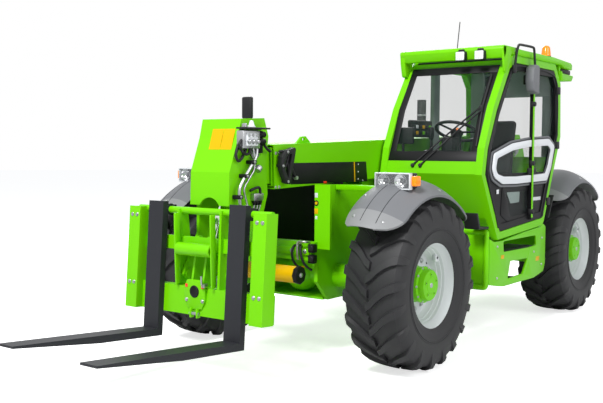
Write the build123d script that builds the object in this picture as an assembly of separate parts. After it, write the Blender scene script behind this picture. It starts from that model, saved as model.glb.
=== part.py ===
"""Telescopic handler with fork carriage, in millimetres.

+X is forward, +Y is the machine's left (the cab's side), +Z is up.
The origin is on the floor, under the middle of the machine's whole length.
The machine stands as it parks: boom down and drawn in, forks just above the floor.
"""
from build123d import *
import math
import os

# Wheels and axles
wheelbase = 3000.0
front_axle_x = 710.0
rear_axle_x = front_axle_x - wheelbase
tyre_radius = 620.0
tyre_width = 460.0
wheel_y = 970.0
axle_z = tyre_radius
rim_seat_radius = 305.0
rim_flange_radius = 328.0
rim_width = 390.0
rim_wall = 12.0
kingpin_y = 720.0
axle_tube_radius = 90.0
hub_radius = 132.0
hub_face_y = 1135.0
spindle_radius = 60.0
pin_clearance = 1.0
free_gap = 5.0

# Chassis
plate_inner_y = 300.0
plate_thickness = 30.0
plate_outer_y = plate_inner_y + plate_thickness
chassis_front_x = 990.0
chassis_rear_x = -3010.0
chassis_bottom_z = 450.0
chassis_mid_z = 850.0
tower_top_z = 1760.0
front_top_z = 1330.0
machine_rear_x = -3175.0

# Boom
lift_x = -2600.0
lift_z = 1600.0
boom_droop = 2.0
boom_half_width = 200.0
boom_half_height = 160.0
boom_front = 3950.0
boom_tail = 230.0
section_wall = 9.0
section_gap = 11.0
lift_pin_radius = 55.0

# Carriage and forks
carriage_top_x = 1963.0
carriage_top_z = 1180.0
carriage_tilt = 4.1
carriage_half_width = 634.0
carriage_height = 722.0
fork_y = 378.0
fork_width = 142.0
fork_thickness = 50.0
fork_reach = 1171.0
fork_blade_drop = 848.0
fork_rise = 45.0
tilt_pivot_x = 1850.0
tilt_pivot_z = 720.0
tilt_pin_radius = 34.0

# Mudguards
fender_inner_y = 770.0
fender_outer_y = 1190.0
fender_inner_drop = 47.0
fender_outer_drop = 118.0
fender_wall = 12.0
fender_end_z = 1085.0
fender_reach = 640.0
front_fender_x = 730.0
front_fender_top = 1388.0
rear_fender_x = -2310.0
rear_fender_top = 1405.0

# Cab
cab_left_y = 1150.0
cab_right_y = 222.0
cab_frame_depth = 60.0
cab_floor_z = 930.0
roof_z = 2440.0


def box(x0, x1, y0, y1, z0, z1):
    """A block between two corners."""
    return Pos((x0 + x1) / 2, (y0 + y1) / 2, (z0 + z1) / 2) * Box(x1 - x0, y1 - y0, z1 - z0)


def plate(points, y0, y1):
    """A plate cut to a side-view outline of (x, z) points, from y0 to y1."""
    face = Plane.XZ * make_face(Polyline(*points, close=True))
    low, high = min(y0, y1), max(y0, y1)
    return Pos(0, high, 0) * extrude(face, high - low)


def plan(points, z0, z1):
    """A block with a top-view outline of (x, y) points, from z0 to z1."""
    return Pos(0, 0, z0) * extrude(make_face(Polyline(*points, close=True)), z1 - z0)


def across(x, z, radius, y0, y1):
    """A round bar along Y."""
    low, high = min(y0, y1), max(y0, y1)
    return Pos(x, (low + high) / 2, z) * Rot(90, 0, 0) * Cylinder(radius, high - low)


def upright(x, y, radius, z0, z1):
    """A round bar along Z."""
    return Pos(x, y, (z0 + z1) / 2) * Cylinder(radius, z1 - z0)


def rod(start, end, radius):
    """A round bar between two points."""
    line = Line(start, end)
    return sweep(Plane(origin=line @ 0, z_dir=line % 0) * Circle(radius), path=line)


def ring_at(x, y, z, profile):
    """A solid of revolution about the axle line; profile is (radius, sideways) points."""
    face = make_face(Polyline(*[(r, s) for r, s in profile], close=True))
    turned = revolve(Plane.XY * face, Axis.Y)
    return Pos(x, y, z) * turned


def fuse(*pieces):
    """One solid from pieces that overlap."""
    whole = pieces[0]
    for piece in pieces[1:]:
        whole = whole + piece
    return whole


def mirrored(shape):
    """The same piece on the other side of the machine."""
    return mirror(shape, about=Plane.XZ)


def group(*shapes):
    """Solids that share a node and don't touch."""
    return Compound(children=[solid for shape in shapes for solid in shape.solids()])


# Wheels


def tyre():
    """Tyre centred on the origin, axle along Y."""
    half = tyre_width / 2
    bead = rim_width / 2 - 10
    return ring_at(0, 0, 0, [
        (rim_seat_radius, -bead), (rim_flange_radius + 3, -bead), (rim_flange_radius + 40, -half * 0.93),
        (rim_seat_radius + 165, -half),
        (tyre_radius - 62, -half * 0.98), (tyre_radius - 12, -half * 0.9), (tyre_radius, -half * 0.45),
        (tyre_radius, half * 0.45), (tyre_radius - 12, half * 0.9), (tyre_radius - 62, half * 0.98),
        (rim_seat_radius + 165, half), (rim_flange_radius + 40, half * 0.93), (rim_flange_radius + 3, bead),
        (rim_seat_radius, bead),
    ])


def rim():
    """Steel rim with its disc and the green reduction hub, centred on the tyre."""
    half = rim_width / 2
    inner = rim_seat_radius - rim_wall
    barrel = ring_at(0, 0, 0, [
        (inner, -half), (rim_flange_radius, -half), (rim_flange_radius, -half + 10),
        (rim_seat_radius, -half + 10), (rim_seat_radius, half - 10), (rim_flange_radius, half - 10),
        (rim_flange_radius, half), (inner, half), (inner, half - 50), (inner - 22, half - 70), (inner - 22, 20),
        (inner, 0),
    ])
    disc_y = 70.0
    disc = ring_at(0, 0, 0, [(spindle_radius + 40, disc_y), (spindle_radius + 40, disc_y + 16),
                             (inner - 20, disc_y + 16), (inner - 20, disc_y)])
    return barrel + disc


def hub():
    """Wheel reduction hub: a drum bolted through the rim's disc."""
    face = hub_face_y - wheel_y
    bore = spindle_radius + pin_clearance
    return ring_at(0, 0, 0, [(0, face), (hub_radius - 8, face), (hub_radius, face - 8), (hub_radius, 86),
                             (spindle_radius + 40, 86), (spindle_radius + 40, -5), (bore, -5), (bore, 60), (0, 60)])


def knuckle():
    """Left steering knuckle about its kingpin at the origin, with the spindle towards +Y."""
    boss = Cylinder(52, 230)
    housing = across(0, 0, 95, 30, 238)
    spindle = across(0, 0, spindle_radius, 230, wheel_y - kingpin_y + 55)
    arm = box(-170, -30, -22, 22, -20, 20)
    return fuse(boss, housing, spindle, arm)


def axle():
    """Axle beam along Y with its gear case and the yokes that hold the knuckles."""
    beam = across(0, 0, axle_tube_radius, -kingpin_y + 110, kingpin_y - 110)
    case = Sphere(150)
    whole = beam + case
    for side in (-1, 1):
        for level in (-1, 1):
            ear = Pos(0, side * kingpin_y, level * 135) * Cylinder(55, 34)
            strap = box(-50, 50, min(side * 600, side * kingpin_y), max(side * 600, side * kingpin_y),
                        level * 135 - 17, level * 135 + 17)
            whole = whole + ear + strap
        whole = whole + box(-50, 50, min(side * 590, side * 640), max(side * 590, side * 640), -150, 150)
    return whole


# Chassis


def chassis_frame():
    outline = [
        (chassis_front_x, front_top_z), (300, front_top_z - 20), (20, chassis_mid_z), (-1850, chassis_mid_z),
        (lift_x + 230, tower_top_z - 60), (lift_x + 130, tower_top_z), (lift_x - 130, tower_top_z),
        (lift_x - 240, tower_top_z - 160), (chassis_rear_x, 1150), (chassis_rear_x, 560),
        (-2750, chassis_bottom_z), (850, chassis_bottom_z), (chassis_front_x, 600),
    ]
    side = plate(outline, plate_inner_y, plate_outer_y)
    frame = side + mirrored(side)
    frame = frame + box(-2950, 880, -plate_inner_y, plate_inner_y, chassis_bottom_z, chassis_bottom_z + 16)
    frame = frame + box(960, chassis_front_x + 40, -plate_outer_y, plate_outer_y, 760, 900)
    frame = frame + box(-60, -30, -plate_inner_y, plate_inner_y, chassis_bottom_z, 820)
    frame = frame + box(-2030, -2000, -plate_inner_y, plate_inner_y, chassis_bottom_z, 760)
    for side_sign in (-1, 1):
        boss = across(lift_x, lift_z, 95, side_sign * (boom_half_width + free_gap), side_sign * (plate_outer_y + 15))
        frame = frame + boss
    frame = frame - across(lift_x, lift_z, lift_pin_radius, -400, 400)
    for x in (front_axle_x, rear_axle_x):
        frame = frame - across(x, axle_z, axle_tube_radius, -400, 400)
    for side_sign in (-1, 1):
        flange = box(chassis_front_x - 25, chassis_front_x, min(side_sign * 300, side_sign * 440),
                     max(side_sign * 300, side_sign * 440), 850, front_top_z)
        frame = frame + flange
    return frame


lift_base = (-1820.0, 690.0)
lift_eye = (-100.0, 1150.0)


def counterweight():
    return box(machine_rear_x, chassis_rear_x, -plate_outer_y, plate_outer_y, 520, 1150) \
        + box(chassis_rear_x, -2800, -plate_inner_y, plate_inner_y, 620, 1150)


def engine_block():
    return box(-1350, -350, -1000, -420, 760, 1330)


def engine_pod():
    tray = box(-1480, -90, -1120, -plate_outer_y, 560, 600)
    ends = box(-1480, -1450, -1120, -plate_outer_y, 560, 1250) + box(-120, -90, -1120, -plate_outer_y, 560, 1250)
    side = box(-1480, -90, -1120, -1090, 560, 1250)
    deck = box(-2560, -1450, -880, -plate_outer_y, 1410, 1440) + box(-1480, -1450, -880, -plate_outer_y, 1240, 1440)
    inner_wall = box(-1480, -90, -plate_outer_y - 30, -plate_outer_y, 560, 1640)
    return fuse(tray, ends, side, deck, inner_wall)


def engine_hood():
    outer = box(-1440, -90, -1120, -366, 1256, 1640)
    inner = box(-1420, -110, -1100, -360, 1250, 1620)
    return outer - inner


def arch_path(x_centre, top_z):
    """Side-view arc of a mudguard's crown, from its rear end to its front end."""
    return ThreePointArc((x_centre - fender_reach, 0, fender_end_z), (x_centre, 0, top_z),
                         (x_centre + fender_reach, 0, fender_end_z))


def arch(x_centre, top_z, thickness):
    """Left mudguard: a crowned strip bent over the wheel."""
    path = arch_path(x_centre, top_z)
    crown_y = fender_inner_y + (fender_outer_y - fender_inner_y) * 0.42
    top = ThreePointArc((fender_inner_y, -fender_inner_drop), (crown_y, 0), (fender_outer_y, -fender_outer_drop))
    low = Pos(0, -thickness) * top
    strip = make_face([top, Line(top @ 1, low @ 1), low, Line(low @ 0, top @ 0)])
    start = Plane(origin=path @ 0, x_dir=(0, 1, 0), z_dir=path % 0)
    return sweep(start * strip, path=path)


def left_fenders():
    front = arch(front_fender_x, front_fender_top, fender_wall)
    rear = arch(rear_fender_x, rear_fender_top, fender_wall)
    front_top = front_fender_top - fender_inner_drop
    rear_top = rear_fender_top - fender_inner_drop
    front_arm = box(front_fender_x - 30, front_fender_x + 30, plate_outer_y, fender_inner_y + 30,
                    front_top - 45, front_top - 5)
    rear_arm = box(rear_fender_x - 30, rear_fender_x + 30, plate_outer_y, fender_inner_y + 30,
                   rear_top - 45, rear_top - 5)
    return [front + front_arm, rear + rear_arm]


def fenders():
    left = left_fenders()
    return group(*left, *[mirrored(piece) for piece in left])


def cab_steps():
    face = plate([(-240, 845), (-240, 490), (-300, 455), (-1420, 455), (-1470, 500), (-1470, 845)], 1108, 1130)
    face = face - plate([(-640, 800), (-1330, 800), (-1330, 690), (-700, 690)], 1090, 1150)
    face = face - plate([(-640, 640), (-1000, 640), (-960, 510), (-600, 510)], 1090, 1150)
    tray = box(-1000, -560, 830, 1120, 470, 490)
    front = box(-270, -240, 700, 1130, 480, 940)
    rear = box(-1470, -1440, 700, 1130, 520, 845)
    back = box(-1460, -250, 700, 730, 500, 845)
    beams = box(-320, -270, plate_outer_y, 720, 780, 840) + box(-1440, -1390, plate_outer_y, 720, 780, 840)
    return fuse(face, tray, front, rear, back, beams)


def fuel_tank():
    return box(-1380, -340, plate_outer_y, 700, 500, 760)


def safety_bar():
    bar = across(1225, 680, 62, -330, 330)
    arms = box(chassis_front_x, 1200, 180, 210, 650, 710) + box(chassis_front_x, 1200, -210, -180, 650, 710)
    return bar + arms


cab_outline = [
    (-379, 862), (-268, 1035), (-56, 1396), (-101, 1608), (-258, 1937), (-523, 2320), (-640, 2380),
    (-1567, 2380), (-1710, 2210), (-1736, 1718), (-1563, 1374), (-1370, 960), (-1330, 921),
]
door_outline = [
    (-420, 930), (-330, 1055), (-125, 1400), (-165, 1595), (-318, 1900), (-562, 2258), (-680, 2312),
    (-1540, 2312), (-1643, 2190), (-1668, 1735), (-1500, 1400), (-1316, 990),
]
door_gap = 6.0


def grown(points, distance):
    """The (x, z) outline moved outward by a distance."""
    face = make_face(Polyline(*points, close=True))
    return offset(face, amount=distance, kind=Kind.INTERSECTION)


def side_plate(face, y0, y1):
    return Pos(0, y1, 0) * extrude(Plane.XZ * face, y1 - y0)


def cab_frame():
    outer = make_face(Polyline(*cab_outline, close=True))
    ring = side_plate(outer - grown(door_outline, door_gap), cab_left_y - cab_frame_depth, cab_left_y)
    opening = make_face(Polyline(*door_outline, close=True))
    far = side_plate(outer - opening, cab_right_y, cab_right_y + cab_frame_depth)
    low, high = cab_right_y + cab_frame_depth, cab_left_y - cab_frame_depth
    floor = box(-1340, -380, low, high, cab_floor_z - 40, cab_floor_z)
    front = plate([(-395, 890), (-268, 1040), (-62, 1400), (-85, 1500), (-125, 1500), (-102, 1400), (-300, 1060),
                   (-430, 900)], low, high)
    back = plate([(-1330, 890), (-1375, 970), (-1563, 1374), (-1640, 1530), (-1600, 1530), (-1525, 1380),
                  (-1335, 985)], low, high)
    head = box(-560, -520, low, high, 2290, 2330)
    tail = box(-1690, -1640, low, high, 2210, 2340)
    panel = plate([(-420, 930), (-330, 1055), (-125, 1400), (-150, 1500), (-1560, 1500), (-1500, 1400),
                   (-1316, 990)], cab_right_y + 20, cab_right_y + 50)
    return fuse(ring, far, floor, front, back, head, tail, panel)


def cab_mounts():
    """Blocks that carry the cab on the frame's side plate."""
    return group(box(-460, -400, plate_inner_y, 620, chassis_mid_z, cab_floor_z - 40),
                 box(-1300, -1240, plate_inner_y, 620, chassis_mid_z, cab_floor_z - 40))


def cab_roof():
    slab = plate([(-470, 2330), (-480, 2435), (-700, roof_z), (-1900, roof_z), (-2060, 2400), (-2060, 2340),
                  (-1900, 2380), (-520, 2380), (-500, 2330)], 210, 1170)
    return slab


def cab_glass():
    low, high = cab_right_y + cab_frame_depth, cab_left_y - cab_frame_depth
    screen = plate([(-92, 1500), (-262, 1925), (-500, 2290), (-508, 2290), (-270, 1921), (-100, 1500)], low, high)
    back = plate([(-1608, 1530), (-1690, 1720), (-1690, 2210), (-1682, 2210), (-1682, 1720), (-1600, 1530)],
                 low, high)
    pane = make_face(Polyline(*door_outline, close=True)) & (Pos(-900, 1900) * Rectangle(2400, 800))
    right = side_plate(pane, cab_right_y + 26, cab_right_y + 32)
    return group(screen, back, right)


def seat():
    base = box(-1250, -900, 480, 800, 930, 1180)
    cushion = box(-1330, -850, 420, 880, 1180, 1300)
    back = plate([(-1330, 1300), (-1230, 1300), (-1370, 1900), (-1450, 1900)], 440, 860)
    return fuse(base, cushion, back)


def steering_column():
    column = rod((-480, 650, cab_floor_z - 60), (-600, 650, 1500), 60) - box(-700, -300, 500, 800, 700, cab_floor_z)
    wheel = Pos(-612, 650, 1545) * Rot(0, -25, 0) * Torus(180, 15)
    hub_part = Pos(-605, 650, 1525) * Rot(0, -25, 0) * Cylinder(60, 60)
    spokes = Pos(-612, 650, 1545) * Rot(0, -25, 0) * (Box(360, 30, 12) + Box(30, 360, 12))
    return fuse(column, wheel, hub_part, spokes)


def console():
    body = plate([(-330, 1080), (-200, 1420), (-350, 1500), (-1300, 1420), (-1300, 930), (-500, 930)], 285, 420)
    stick = rod((-900, 350, 1440), (-880, 350, 1600), 18)
    return body + stick


def right_mirror():
    post = rod((300, -980, 1250), (250, -990, 1900), 14)
    head = box(225, 265, -1050, -930, 1860, 2060)
    return (post + head) - mirrored(arch(front_fender_x, front_fender_top, 200))


def left_mirror():
    """Mirror on the door's upper front corner, on an arm bent over the cab's side."""
    foot = box(-640, -590, cab_left_y, cab_left_y + 25, 2230, 2290)
    arm = fuse(rod((-615, 1165, 2270), (-620, 1192, 2450), 11), rod((-620, 1192, 2446), (-940, 1200, 2466), 11),
               rod((-936, 1200, 2470), (-975, 1205, 2200), 11))
    head = box(-1000, -960, 1172, 1235, 2060, 2320)
    return fuse(foot, arm, head)


def headlamps():
    left = box(880, 1010, 821, 1112, 1300, 1428) - arch(front_fender_x, front_fender_top, 200)
    return group(left, mirrored(left))


def work_lamps():
    return group(*[box(-469, -410, y - 45, y + 45, 2340, 2425) for y in (860, 1010)])


def beacon():
    return upright(-1850, 950, 50, roof_z, roof_z + 150)


def antenna():
    return rod((-650, 620, roof_z), (-700, 620, 2700), 4)


def exhaust_stack():
    return box(-2500, -1700, -860, -420, 1440, 1600) + upright(-2420, -700, 50, 1590, 2150)


def rear_lamps():
    left = box(-3020, -2980, plate_outer_y, 420, 1000, 1120)
    return group(left, mirrored(left))


def tow_hitch():
    return box(-3120, chassis_rear_x, -70, 70, 430, 520)


def wipers():
    return rod((-60, 560, 1496), (-236, 940, 1936), 8)


# Boom


def boom_place(shape):
    """Moves a piece from the boom's own frame (origin at the lift hinge) to its rest place."""
    return Pos(lift_x, 0, lift_z) * Rot(0, boom_droop, 0) * shape


def section(x0, x1, half_width, half_height):
    outer = box(x0, x1, -half_width, half_width, -half_height, half_height)
    bore = box(x0 - 1, x1 + 1, -half_width + section_wall, half_width - section_wall,
               -half_height + section_wall, half_height - section_wall)
    return outer - bore


step = section_wall + section_gap


def boom_outer():
    tube = section(-boom_tail, boom_front, boom_half_width, boom_half_height)
    tail = box(-boom_tail, 100, -boom_half_width, boom_half_width, -boom_half_height, boom_half_height)
    whole = tube + tail
    whole = whole - across(0, 0, lift_pin_radius + pin_clearance, -400, 400)
    placed = boom_place(whole)
    for side in (-1, 1):
        ear = plate([(lift_eye[0] - 140, 1365), (lift_eye[0] - 70, lift_eye[1] - 60), (lift_eye[0] + 70, lift_eye[1] - 60),
                     (lift_eye[0] + 140, 1350)], side * 72, side * 97)
        placed = placed + ear + across(lift_eye[0], lift_eye[1], 40, side * 90, side * 115)
    return placed


def boom_middle():
    return boom_place(section(150, boom_front + 10, boom_half_width - step, boom_half_height - step))


def boom_inner():
    tube = section(250, boom_front + 100, boom_half_width - 2 * step, boom_half_height - 2 * step)
    return boom_place(tube) + boom_head()


head_outline = [
    (1687, 1797), (1720, 1665), (1808, 1430), (1815, 1200), (1750, 1196), (1750, 1000), (1908, 720), (1850, 662),
    (1792, 720), (1640, 960), (1500, 1120), (1444, 1137), (1398, 1271), (1420, 1479), (1390, 1681), (1438, 1808),
]
head_cavity = [
    (1672, 1780), (1703, 1665), (1790, 1430), (1797, 1100), (2000, 1000), (2000, 600), (1450, 600), (1450, 1137),
    (1480, 1300), (1480, 1790),
]


def boom_head():
    """Welded head that drops from the inner section to the carriage pivot."""
    whole = plate(head_outline, -180, 180) - plate(head_cavity, -155, 155)
    whole = whole - Pos(1800, 0, 1155) * Rot(0, 90, 0) * Cylinder(100, 200)
    return whole - across(tilt_pivot_x, tilt_pivot_z, tilt_pin_radius + pin_clearance, -200, 200)


def lift_pin():
    return across(lift_x, lift_z, lift_pin_radius, -plate_outer_y - 20, plate_outer_y + 20)


# Fork carriage


def carriage_place(shape):
    """Moves a piece from the carriage's own frame (front face at x=0, top at z=0) to its rest place."""
    return Pos(carriage_top_x, 0, carriage_top_z) * Rot(0, -carriage_tilt, 0) * shape


bar_x = -88.0
bar_radius = 24.0
shank_back = -11.0 - fork_thickness


def carriage_frame():
    end = carriage_half_width - 20
    top_bar = across(bar_x, -12, bar_radius, -end, end)
    mid_bar = box(-112, -84, -end, end, -285, -190)
    beam = box(shank_back - 90, shank_back, -end, end, -carriage_height, -530)
    whole = fuse(top_bar, mid_bar, beam)
    for side in (-1, 1):
        post = box(-115, 0, min(side * 525, side * 634), max(side * 525, side * 634), -carriage_height, 0)
        whole = whole + post
    placed = carriage_place(whole)
    for side in (-1, 1):
        cheek = plate([(1830, 1175), (1915, 1175), (1925, 900), (1940, 640), (1850, 640), (1790, 720), (1800, 900)],
                      side * 186, side * 206)
        pin = across(tilt_pivot_x, tilt_pivot_z, tilt_pin_radius, side * 150, side * 210)
        ear = plate([(1755, 850), (1775, 920), (1840, 990), (1875, 990), (1940, 640), (1870, 640), (1800, 820)],
                    side * 42, side * 60)
        stub = across(tilt_eye[0], tilt_eye[1], 22, side * 55, side * 78)
        placed = placed + cheek + pin + ear + stub
    return placed


def forks():
    pieces = []
    for side in (-1, 1):
        low, high = side * fork_y - fork_width / 2, side * fork_y + fork_width / 2
        shank = box(shank_back, -11, low, high, -fork_blade_drop - fork_thickness, fork_rise)
        blade = plate([(shank_back, -fork_blade_drop), (fork_reach - 11, -fork_blade_drop),
                       (fork_reach - 11, -fork_blade_drop - 15), (500, -fork_blade_drop - fork_thickness),
                       (shank_back, -fork_blade_drop - fork_thickness)], low, high)
        hook = across(bar_x, -12, bar_radius + 18, low, high) + box(bar_x, shank_back + 2, low, high, -30, 6)
        fork = fuse(shank, blade, hook) - across(bar_x, -12, bar_radius, low - 10, high + 10)
        pieces.append(fork)
    return carriage_place(group(*pieces))


# Cylinders


def cylinder(base, eye, bore, rod_radius, barrel_end, rod_start, width):
    """Barrel hinged at base and rod ending in an eye, both about (x, z) points in the plane y=0."""
    dx, dz = eye[0] - base[0], eye[1] - base[1]
    length = math.hypot(dx, dz)
    place = Pos(base[0], 0, base[1]) * Rot(0, -math.degrees(math.atan2(dz, dx)), 0)
    wall = bore + 12
    turned = Rot(0, 90, 0)
    tube = Pos((barrel_end + 60) / 2, 0, 0) * turned * Cylinder(wall, barrel_end - 60)
    hollow = Pos((barrel_end + 90) / 2 + 50, 0, 0) * turned * Cylinder(rod_radius + 1, barrel_end)
    foot = across(0, 0, wall * 0.85, -width / 2, width / 2) + box(0, 80, -width / 2, width / 2, -wall * 0.6, wall * 0.6)
    barrel = (tube - hollow) + foot - across(0, 0, rod_radius * 0.7, -200, 200)
    shaft = Pos((length + rod_start) / 2, 0, 0) * turned * Cylinder(rod_radius, length - rod_start)
    ring = across(length, 0, rod_radius * 1.25, -width / 2, width / 2)
    shaft = shaft + ring - across(length, 0, rod_radius * 0.7, -200, 200)
    return place * barrel, place * shaft


tilt_base = (1520.0, 1640.0)
tilt_eye = (1800.0, 880.0)


# Doors


def door_frame():
    outer = make_face(Polyline(*door_outline, close=True))
    window = offset(outer, amount=-55, kind=Kind.INTERSECTION)
    frame = side_plate(outer - window, cab_left_y - 45, cab_left_y)
    rail = box(-1035, -1005, cab_left_y - 5, cab_left_y + 25, 990, 2300)
    lower = side_plate(window & (Pos(-900, 900) * Rectangle(2400, 1000)), cab_left_y - 30, cab_left_y - 10)
    return fuse(frame, rail, lower)


def door_glass():
    outer = make_face(Polyline(*door_outline, close=True))
    window = offset(outer, amount=-55, kind=Kind.INTERSECTION)
    upper = window & (Pos(-900, 2000) * Rectangle(2400, 1200))
    return side_plate(upper, cab_left_y - 26, cab_left_y - 20)


def at_wheel(shape, x, side):
    """Places a left-hand wheel piece at a corner of the machine, mirrored on the right."""
    placed = Pos(x, wheel_y, axle_z) * shape
    return placed if side > 0 else mirrored(placed)


def build():
    nodes = {}
    nodes["chassis_frame"] = chassis_frame()
    nodes["front_axle"] = Pos(front_axle_x, 0, axle_z) * axle()
    nodes["rear_axle"] = Pos(rear_axle_x, 0, axle_z) * axle()
    nodes["counterweight"] = counterweight()
    nodes["engine_block"] = engine_block()
    nodes["engine_pod"] = engine_pod()
    nodes["engine_hood"] = engine_hood()
    nodes["fenders"] = fenders()
    nodes["cab_steps"] = cab_steps()
    nodes["fuel_tank"] = fuel_tank()
    nodes["safety_bar"] = safety_bar()
    nodes["cab_frame"] = cab_frame()
    nodes["cab_mounts"] = cab_mounts()
    nodes["cab_roof"] = cab_roof()
    nodes["cab_glass"] = cab_glass()
    nodes["seat"] = seat()
    nodes["steering_column"] = steering_column()
    nodes["console"] = console()
    nodes["right_mirror"] = right_mirror()
    nodes["left_mirror"] = left_mirror()
    nodes["headlamps"] = headlamps()
    nodes["work_lamps"] = work_lamps()
    nodes["beacon"] = beacon()
    nodes["antenna"] = antenna()
    nodes["exhaust_stack"] = exhaust_stack()
    nodes["rear_lamps"] = rear_lamps()
    nodes["tow_hitch"] = tow_hitch()
    nodes["wipers"] = wipers()
    nodes["lift_pin"] = lift_pin()
    nodes["boom_outer"] = boom_outer()
    nodes["boom_middle"] = boom_middle()
    nodes["boom_inner"] = boom_inner()
    nodes["carriage_frame"] = carriage_frame()
    nodes["forks"] = forks()
    nodes["lift_barrel"], nodes["lift_rod"] = cylinder(lift_base, lift_eye, 70, 50, 1600, 190, 120)
    nodes["tilt_barrel"], nodes["tilt_rod"] = cylinder(tilt_base, tilt_eye, 35, 30, 440, 125, 70)
    nodes["cab_door"] = door_frame()
    nodes["door_glass"] = door_glass()
    knuckle_left = knuckle()
    wheel_parts = {"tyre": tyre(), "rim": rim(), "hub": hub()}
    for end, x in (("front", front_axle_x), ("rear", rear_axle_x)):
        for name, side in (("left", 1), ("right", -1)):
            steer = Pos(x, kingpin_y, axle_z) * knuckle_left
            nodes[f"{end}_{name}_knuckle"] = steer if side > 0 else mirrored(steer)
            for part, shape in wheel_parts.items():
                nodes[f"{end}_{name}_{part}"] = at_wheel(shape, x, side)
    return nodes


os.makedirs("parts", exist_ok=True)
for node_name, node_shape in build().items():
    export_step(node_shape, f"parts/{node_name}.step")
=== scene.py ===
# %% [markdown]
# This lesson dresses a telescopic handler, a four-wheel-steer machine with a side cab and a
# telescoping boom. The CAD frame already holds every moving piece at its real size, so Blender's
# job is the finish: paint, rubber, glass and the small things that a drawing leaves out.
# We load the frame first.

# %% Load the CAD frame
import math

import bmesh
import bpy
from mathutils import Matrix, Vector


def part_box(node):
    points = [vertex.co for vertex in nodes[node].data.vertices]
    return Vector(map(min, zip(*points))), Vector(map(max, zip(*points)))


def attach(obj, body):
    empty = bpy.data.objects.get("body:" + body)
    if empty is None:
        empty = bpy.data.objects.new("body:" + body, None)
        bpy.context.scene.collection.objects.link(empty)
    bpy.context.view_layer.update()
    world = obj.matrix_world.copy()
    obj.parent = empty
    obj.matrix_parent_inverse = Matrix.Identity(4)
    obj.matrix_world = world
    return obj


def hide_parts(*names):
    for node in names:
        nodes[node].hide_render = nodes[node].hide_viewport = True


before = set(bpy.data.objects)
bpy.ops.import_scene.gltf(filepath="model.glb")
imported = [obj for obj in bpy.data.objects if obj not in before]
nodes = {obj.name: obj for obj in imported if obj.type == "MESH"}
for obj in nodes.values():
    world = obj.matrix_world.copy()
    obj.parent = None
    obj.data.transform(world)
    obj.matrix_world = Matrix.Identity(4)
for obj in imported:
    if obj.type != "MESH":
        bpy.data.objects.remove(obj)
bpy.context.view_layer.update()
print("CAD nodes:", len(nodes))

# %% [markdown]
# The photograph was taken from the machine's front left corner, at about head height.
# Blender's camera looks along its own -Z, so its matrix is built from three unit vectors:
# to the right, up, and backwards. A little roll about the view line finishes it.

# %% Camera
camera_place = Vector((6.217, 4.092, 1.585))
camera_yaw = math.radians(216.83)
camera_pitch = math.radians(-3.4)
camera_roll = math.radians(0.3)

ahead = Vector((math.cos(camera_yaw) * math.cos(camera_pitch),
                math.sin(camera_yaw) * math.cos(camera_pitch),
                math.sin(camera_pitch)))
side = ahead.cross(Vector((0, 0, 1))).normalized()
above = side.cross(ahead)
right = side * math.cos(camera_roll) + above * math.sin(camera_roll)
up = above * math.cos(camera_roll) - side * math.sin(camera_roll)

camera_data = bpy.data.cameras.new("photo_camera")
camera_data.sensor_width = 36.0
camera_data.lens = 51.87
camera = bpy.data.objects.new("photo_camera", camera_data)
camera.matrix_world = Matrix((
    (right.x, up.x, -ahead.x, camera_place.x),
    (right.y, up.y, -ahead.y, camera_place.y),
    (right.z, up.z, -ahead.z, camera_place.z),
    (0, 0, 0, 1)))
bpy.context.scene.collection.objects.link(camera)
bpy.context.scene.camera = camera
print("camera at", tuple(camera_place))

# %% [markdown]
# Shader maths is easier to read as expressions. This small class wraps one socket, and its
# operators add the Math nodes, so that `0.66 - (1 - dust) * 0.16` builds the same tree as three
# nodes wired by hand.

# %% A socket that does arithmetic


class Wire:
    """One output socket in a material, with operators that add Math nodes."""

    def __init__(self, sheet, socket):
        self.sheet = sheet
        self.socket = socket

    def _math(self, operation, first, second):
        return self.sheet.node("ShaderNodeMath", {"operation": operation}, [first, second])

    def __add__(self, other):
        return self._math("ADD", self, other)

    __radd__ = __add__

    def __mul__(self, other):
        return self._math("MULTIPLY", self, other)

    __rmul__ = __mul__

    def __sub__(self, other):
        return self._math("SUBTRACT", self, other)

    def __rsub__(self, other):
        return self._math("SUBTRACT", other, self)


class Sheet:
    """A material's node tree, with one method that adds any node."""

    def __init__(self, name):
        self.material = bpy.data.materials.new(name)
        self.material.use_nodes = True
        self.tree = self.material.node_tree
        self.shader = self.tree.nodes["Principled BSDF"]
        self.place = self.node("ShaderNodeTexCoord", {}, [], "Object")

    def plug(self, socket, value):
        if isinstance(value, Wire):
            self.tree.links.new(value.socket, socket)
        elif hasattr(value, "__len__") and len(value) == 3 and len(socket.default_value) == 4:
            socket.default_value = (*value, 1.0)
        else:
            socket.default_value = value

    def node(self, kind, settings, values, output=0):
        made = self.tree.nodes.new(kind)
        for name, value in settings.items():
            setattr(made, name, value)
        pairs = values.items() if isinstance(values, dict) else enumerate(values)
        for key, value in pairs:
            self.plug(made.inputs[key], value)
        return Wire(self, made.outputs[output])

    def noise(self, scale, detail=3.0):
        return self.node("ShaderNodeTexNoise", {},
                         {"Vector": self.place, "Scale": scale, "Detail": detail, "Roughness": 0.55})

    def blend(self, factor, first, second):
        """Mixes two colours. A colour mix has its colours at inputs 6 and 7, its result at 2."""
        return self.node("ShaderNodeMix", {"data_type": "RGBA"}, {0: factor, 6: first, 7: second}, 2)

    def bump(self, height, strength, distance):
        relief = self.node("ShaderNodeBump", {},
                           {"Height": height, "Strength": strength, "Distance": distance})
        self.finish(Normal=relief)

    def finish(self, **sockets):
        for name, value in sockets.items():
            self.plug(self.shader.inputs[name.replace("_", " ")], value)
        return self.material


# %% [markdown]
# The machine's paint is a saturated lime green enamel. Enamel is never a flat colour: it
# has a faint orange-peel relief, a gloss that drifts a little, and a clear hard surface on
# top. The same recipe serves every painted colour, so it is a function of the colour.

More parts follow.
